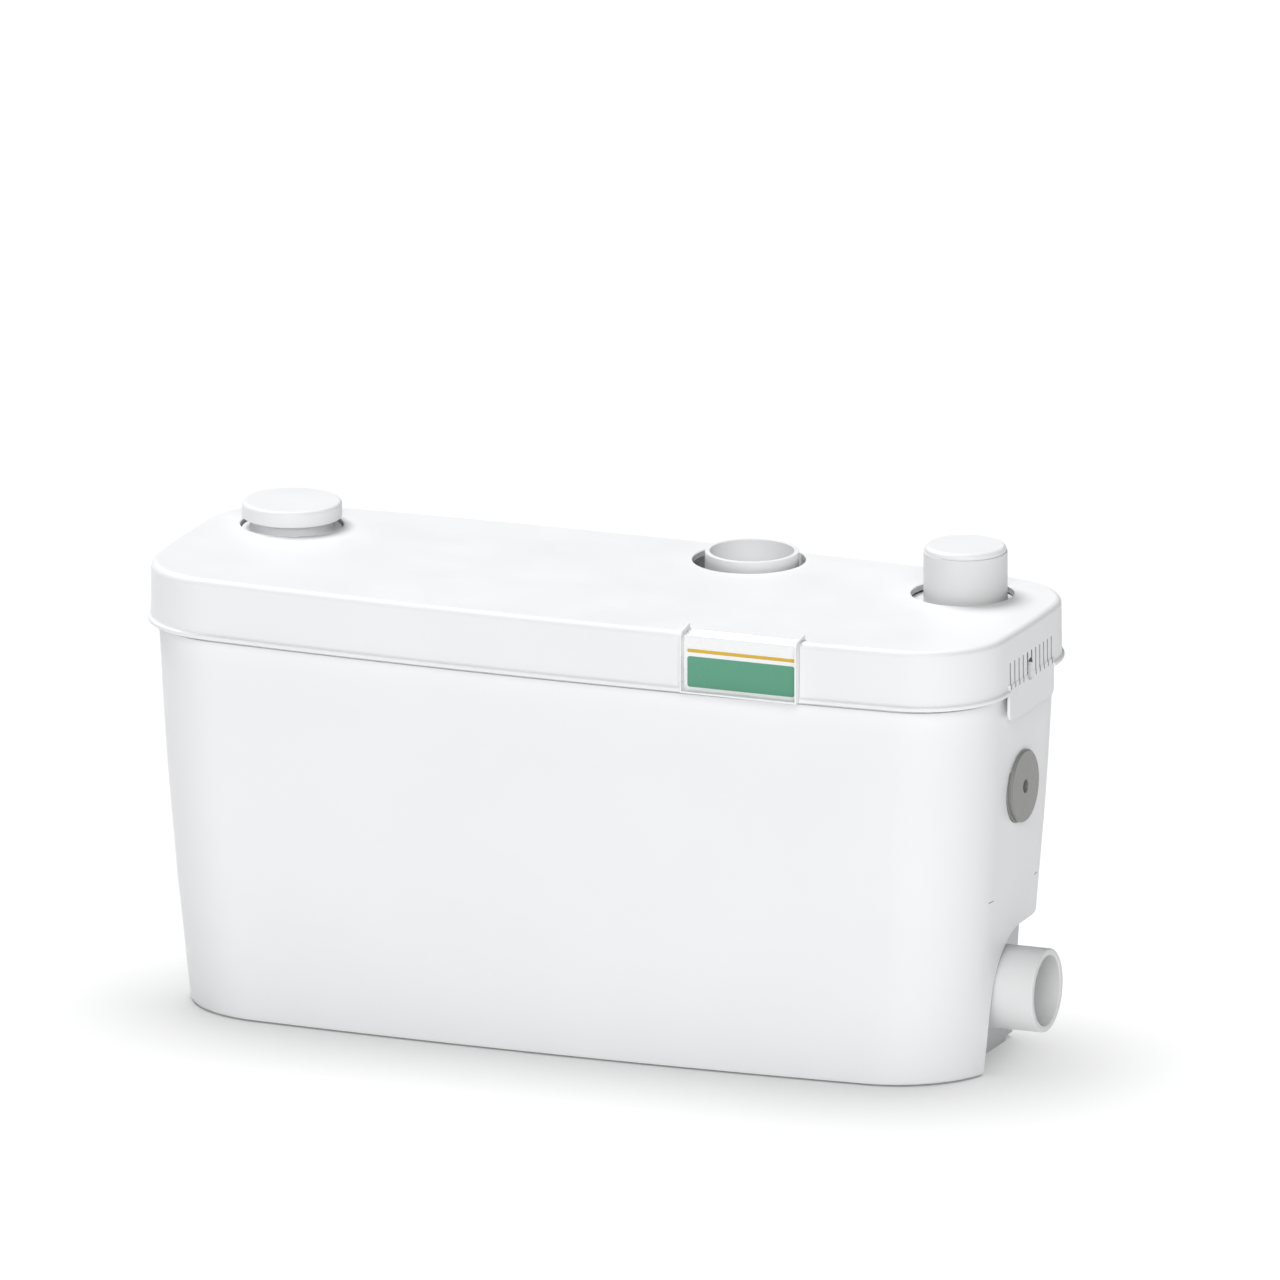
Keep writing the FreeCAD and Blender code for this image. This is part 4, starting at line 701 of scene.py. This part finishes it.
deck = loft("deck", [tank_level(z, i, i) for z, i in [(192.2, 1.0), (196.0, 1.0), (196.18, 1.15), (196.2, 1.4), (198.5, 1.4), (198.8, 1.5), (198.95, 1.7), (199.0, 2.0)]])
boole(deck, loft("deck_tray", [tank_level(z, i, i) for z, i in [(196.2, 4.0), (196.3, 3.6), (196.6, 3.3), (197.0, 3.2), (198.5, 3.2), (198.8, 3.1), (198.95, 2.9),
                                                                (199.0, 2.6), (202.0, 2.6)]]))
boole(deck, merged("posts", [lathe("post", [(0, 168.7), (6.0, 168.7, 0.6), (6.0, 194.0), (0, 194.0)], (-60 + a, b, 0), "z", 48)
                             for a, b in [(-32, 0), (32, 0), (0, -32), (0, 32)]]), "UNION")
boole(deck, merged("ribs", [block("ra", -10, -70, 195.2, -7.8, -8, 200.2, 0.5), block("rb", 78, -70, 195.2, 80.2, 30, 200.2, 0.5),
                            block("gw", -113, 62, 195.2, -87, 66, 213.7, 0.7)]), "UNION")
boole(deck, block("rc", 20, -12, 195.2, 79.0, -9.8, 200.2, 0.5), "UNION")
for sx in (1, -1):
    hook = prism("catch", [(sx * a, b) for a, b in [(209.0, 195.0), (209.0, 193.0), (213.9, 193.9), (214.3, 194.3), (214.3, 195.6), (212.2, 201.0), (210.0, 201.0), (210.0, 195.0)]],
                 -4.2, 0.6, "y")
    boole(deck, hook, "UNION")
holes = [drill("d", 2.2, a, b, 189.2, 201.2, 32) for a, b in SCREWS]
holes += [drill("d", 15.0, VX, SY, 189.2, 201.2), drill("d", 21.6, IX, SY, 189.2, 201.2, 96), drill("d", 13.1, 112.0, -22.0, 189.2, 201.2),
          drill("d", 6.0, -40.0, 16.0, 189.2, 201.2, 48)]
holes.append(lathe("d", [(0, 189.2), (15.6, 189.2), (15.6, 196.2), (18.0, 196.2), (18.0, 199.0), (22.7, 199.0), (22.7, 229.0), (0, 229.0)], (51.8, 57.0, 0), "z", 96))
holes.append(lathe("d", [(0, 0), (6.1, 0), (6.1, 10), (0, 10)], (-100, 60, 205.2), "y", 48))
boole(deck, merged("deck_holes", holes))
boole(deck, block("gland_rib_gap", -110, 67, 196.2, -90, 79, 200.2))
tidy(deck)
finish_piece(deck, "deck_tray", "station", "deck_white", "inner_cover")

# control box, its cover, gland, pressure switch
BX, BY, BL, BW = -126.0, -56.0, 104.0, 42.0
ebox = prism("ebox", fillet([(BX, BY, 3.5), (BX + BL, BY, 3.5), (BX + BL, BY + BW, 3.5), (BX, BY + BW, 3.5)]), 196.2, 210.2)
boole(ebox, prism("ebox_in", fillet([(BX + 2, BY + 2, 1.5), (BX + BL - 2, BY + 2, 1.5), (BX + BL - 2, BY + BW - 2, 1.5), (BX + 2, BY + BW - 2, 1.5)]), 198.2, 214.0))
boole(ebox, lathe("ebox_lead", [(0, 0), (4.0, 0), (4.0, 10), (0, 10)], (-108, BY + BW - 5, 204.0), "y", 48))
tidy(ebox)
finish_piece(ebox, "control_box_case", "station", "deck_white", "control_box")
top = prism("ebox_top", fillet([(BX, BY, 3.5), (BX + BL, BY, 3.5), (BX + BL, BY + BW, 3.5), (BX, BY + BW, 3.5)]), 210.2, 212.2, "z", 0.55, 3)
boole(top, prism("ebox_step", fillet([(BX + 2.2, BY + 2.2, 1.4), (BX + BL - 2.2, BY + 2.2, 1.4), (BX + BL - 2.2, BY + BW - 2.2, 1.4), (BX + 2.2, BY + BW - 2.2, 1.4)]), 208.6, 211.0), "UNION")
tidy(top)
finish_piece(top, "control_box_lid", "station", "deck_white", "control_box_cover")
gland = lathe("gland", [(3.4, 0), (6.0, 0), (6.0, 6.0), (8.6, 6.0, 0.4), (8.6, 9.4, 0.5), (7.4, 9.8, 0.3), (7.4, 15.6, 1.2), (5.6, 17.4, 0.6), (3.4, 17.4, 0.4)],
              (-100, 60.0, 205.2), "y", 96)
finish_piece(gland, "cable_gland_body", "station", "black_plastic", "cable_gland")
sw = lathe("switch", [(3.3, 3.6), (8.0, 3.6), (16.0, 2.6), (20.4, 0.2), (20.4, -0.8), (23.0, -1.2, 0.4), (23.0, 1.6, 0.7), (17.5, 4.6, 3.0), (8.0, 5.6, 3.0), (3.3, 5.6, 0.3)],
           (112.0, -22.0, 202.6), "z", 128)
finish_piece(sw, "switch_cap_dome", "station", "deck_white", "switch_cap")
ms = block("ms", 102.0, -17.5, 208.3, 122.0, -11.1, 214.9, 0.4)
boole(ms, block("lever", 104.0, -24.0, 213.0, 116.0, -16.5, 213.4), "UNION")
tidy(ms)
finish_piece(ms, "micro_switch_case", "station", "black_plastic", "micro_switch")

# ---------------------------------------------------------------- floor, lights, camera
bpy.ops.mesh.primitive_grid_add(x_subdivisions=8, y_subdivisions=8, size=60.0, location=(0, 0, -0.0002))
floor = bpy.context.object
floor.name = "studio_floor"
fm, nt, bsdf, vec = shader("floor_paper")
# white paper sweep, lit from below as on a light table so that it stays white round a white object
nt.links.new(ramp(nt, noise(nt, vec, 1.5, 2.0), [(0.3, (0.596, 0.597, 0.599)), (0.7, (0.605, 0.606, 0.608))]), bsdf.inputs["Base Color"])
bsdf.inputs["Emission Color"].default_value = (1.0, 1.0, 1.0, 1.0)
bsdf.inputs["Emission Strength"].default_value = 0.19
bsdf.inputs["Roughness"].default_value = 0.9
bsdf.inputs["Specular IOR Level"].default_value = 0.0
floor.data.materials.append(fm)
floor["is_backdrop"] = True

scene = bpy.context.scene
scene.view_settings.view_transform = "Standard"
scene.view_settings.look = "None"
scene.view_settings.exposure = 0.0
scene.view_settings.gamma = 1.0

world = bpy.data.worlds.new("studio")
scene.world = world
world.use_nodes = True
bg = world.node_tree.nodes["Background"]
bg.inputs["Color"].default_value = (1.0, 1.0, 1.0, 1.0)
bg.inputs["Strength"].default_value = 0.17


def sun(name, direction, strength, angle, color=(1, 1, 1)):
    l = bpy.data.lights.new(name, "SUN")
    l.energy = strength
    l.angle = math.radians(angle)
    l.color = color
    o = bpy.data.objects.new(name, l)
    scene.collection.objects.link(o)
    d = Vector(direction).normalized()
    o.rotation_mode = "QUATERNION"
    o.rotation_quaternion = d.to_track_quat("Z", "Y")
    o.location = d * 3
    return o


def lights_only(lamp, state):
    # keeps a lamp to the floor, or off it, so that the floor shows one close soft shadow all round
    if state == "INCLUDE":
        b = bpy.data.collections.new(lamp.name + "_blockers")
        b.objects.link(side)
        b.collection_objects[0].light_linking.link_state = "EXCLUDE"
        lamp.light_linking.blocker_collection = b
    c = bpy.data.collections.new(lamp.name + "_receivers")
    c.objects.link(floor)
    c.collection_objects[0].light_linking.link_state = state
    lamp.light_linking.receiver_collection = c


lights_only(sun("top", (-0.45, 0.30, 0.84), 3.06, 30), "EXCLUDE")
lights_only(sun("side", (0.35, -0.80, 0.48), 1.52, 38), "EXCLUDE")
lights_only(sun("front", (0.08, -0.90, 0.40), 0.30, 45), "EXCLUDE")
lights_only(sun("overhead", (-0.05, 0.10, 1.0), 3.92, 48), "INCLUDE")

AZ, EL = math.radians(21.65), math.radians(15.14)
back = Vector((math.sin(AZ) * math.cos(EL), -math.cos(AZ) * math.cos(EL), math.sin(EL)))
cam = bpy.data.cameras.new("camera")
cam.type = "ORTHO"
cam.ortho_scale = 1280.0 / 2.1075 * MM
cam.clip_start, cam.clip_end = 0.1, 60.0
co = bpy.data.objects.new("camera", cam)
scene.collection.objects.link(co)
co.rotation_mode = "QUATERNION"
co.rotation_quaternion = (-back).to_track_quat("-Z", "Y")
co.location = Vector((-2.6, 49.9, 175.0)) * MM + back * 4.0
scene.camera = co

lo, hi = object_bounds()
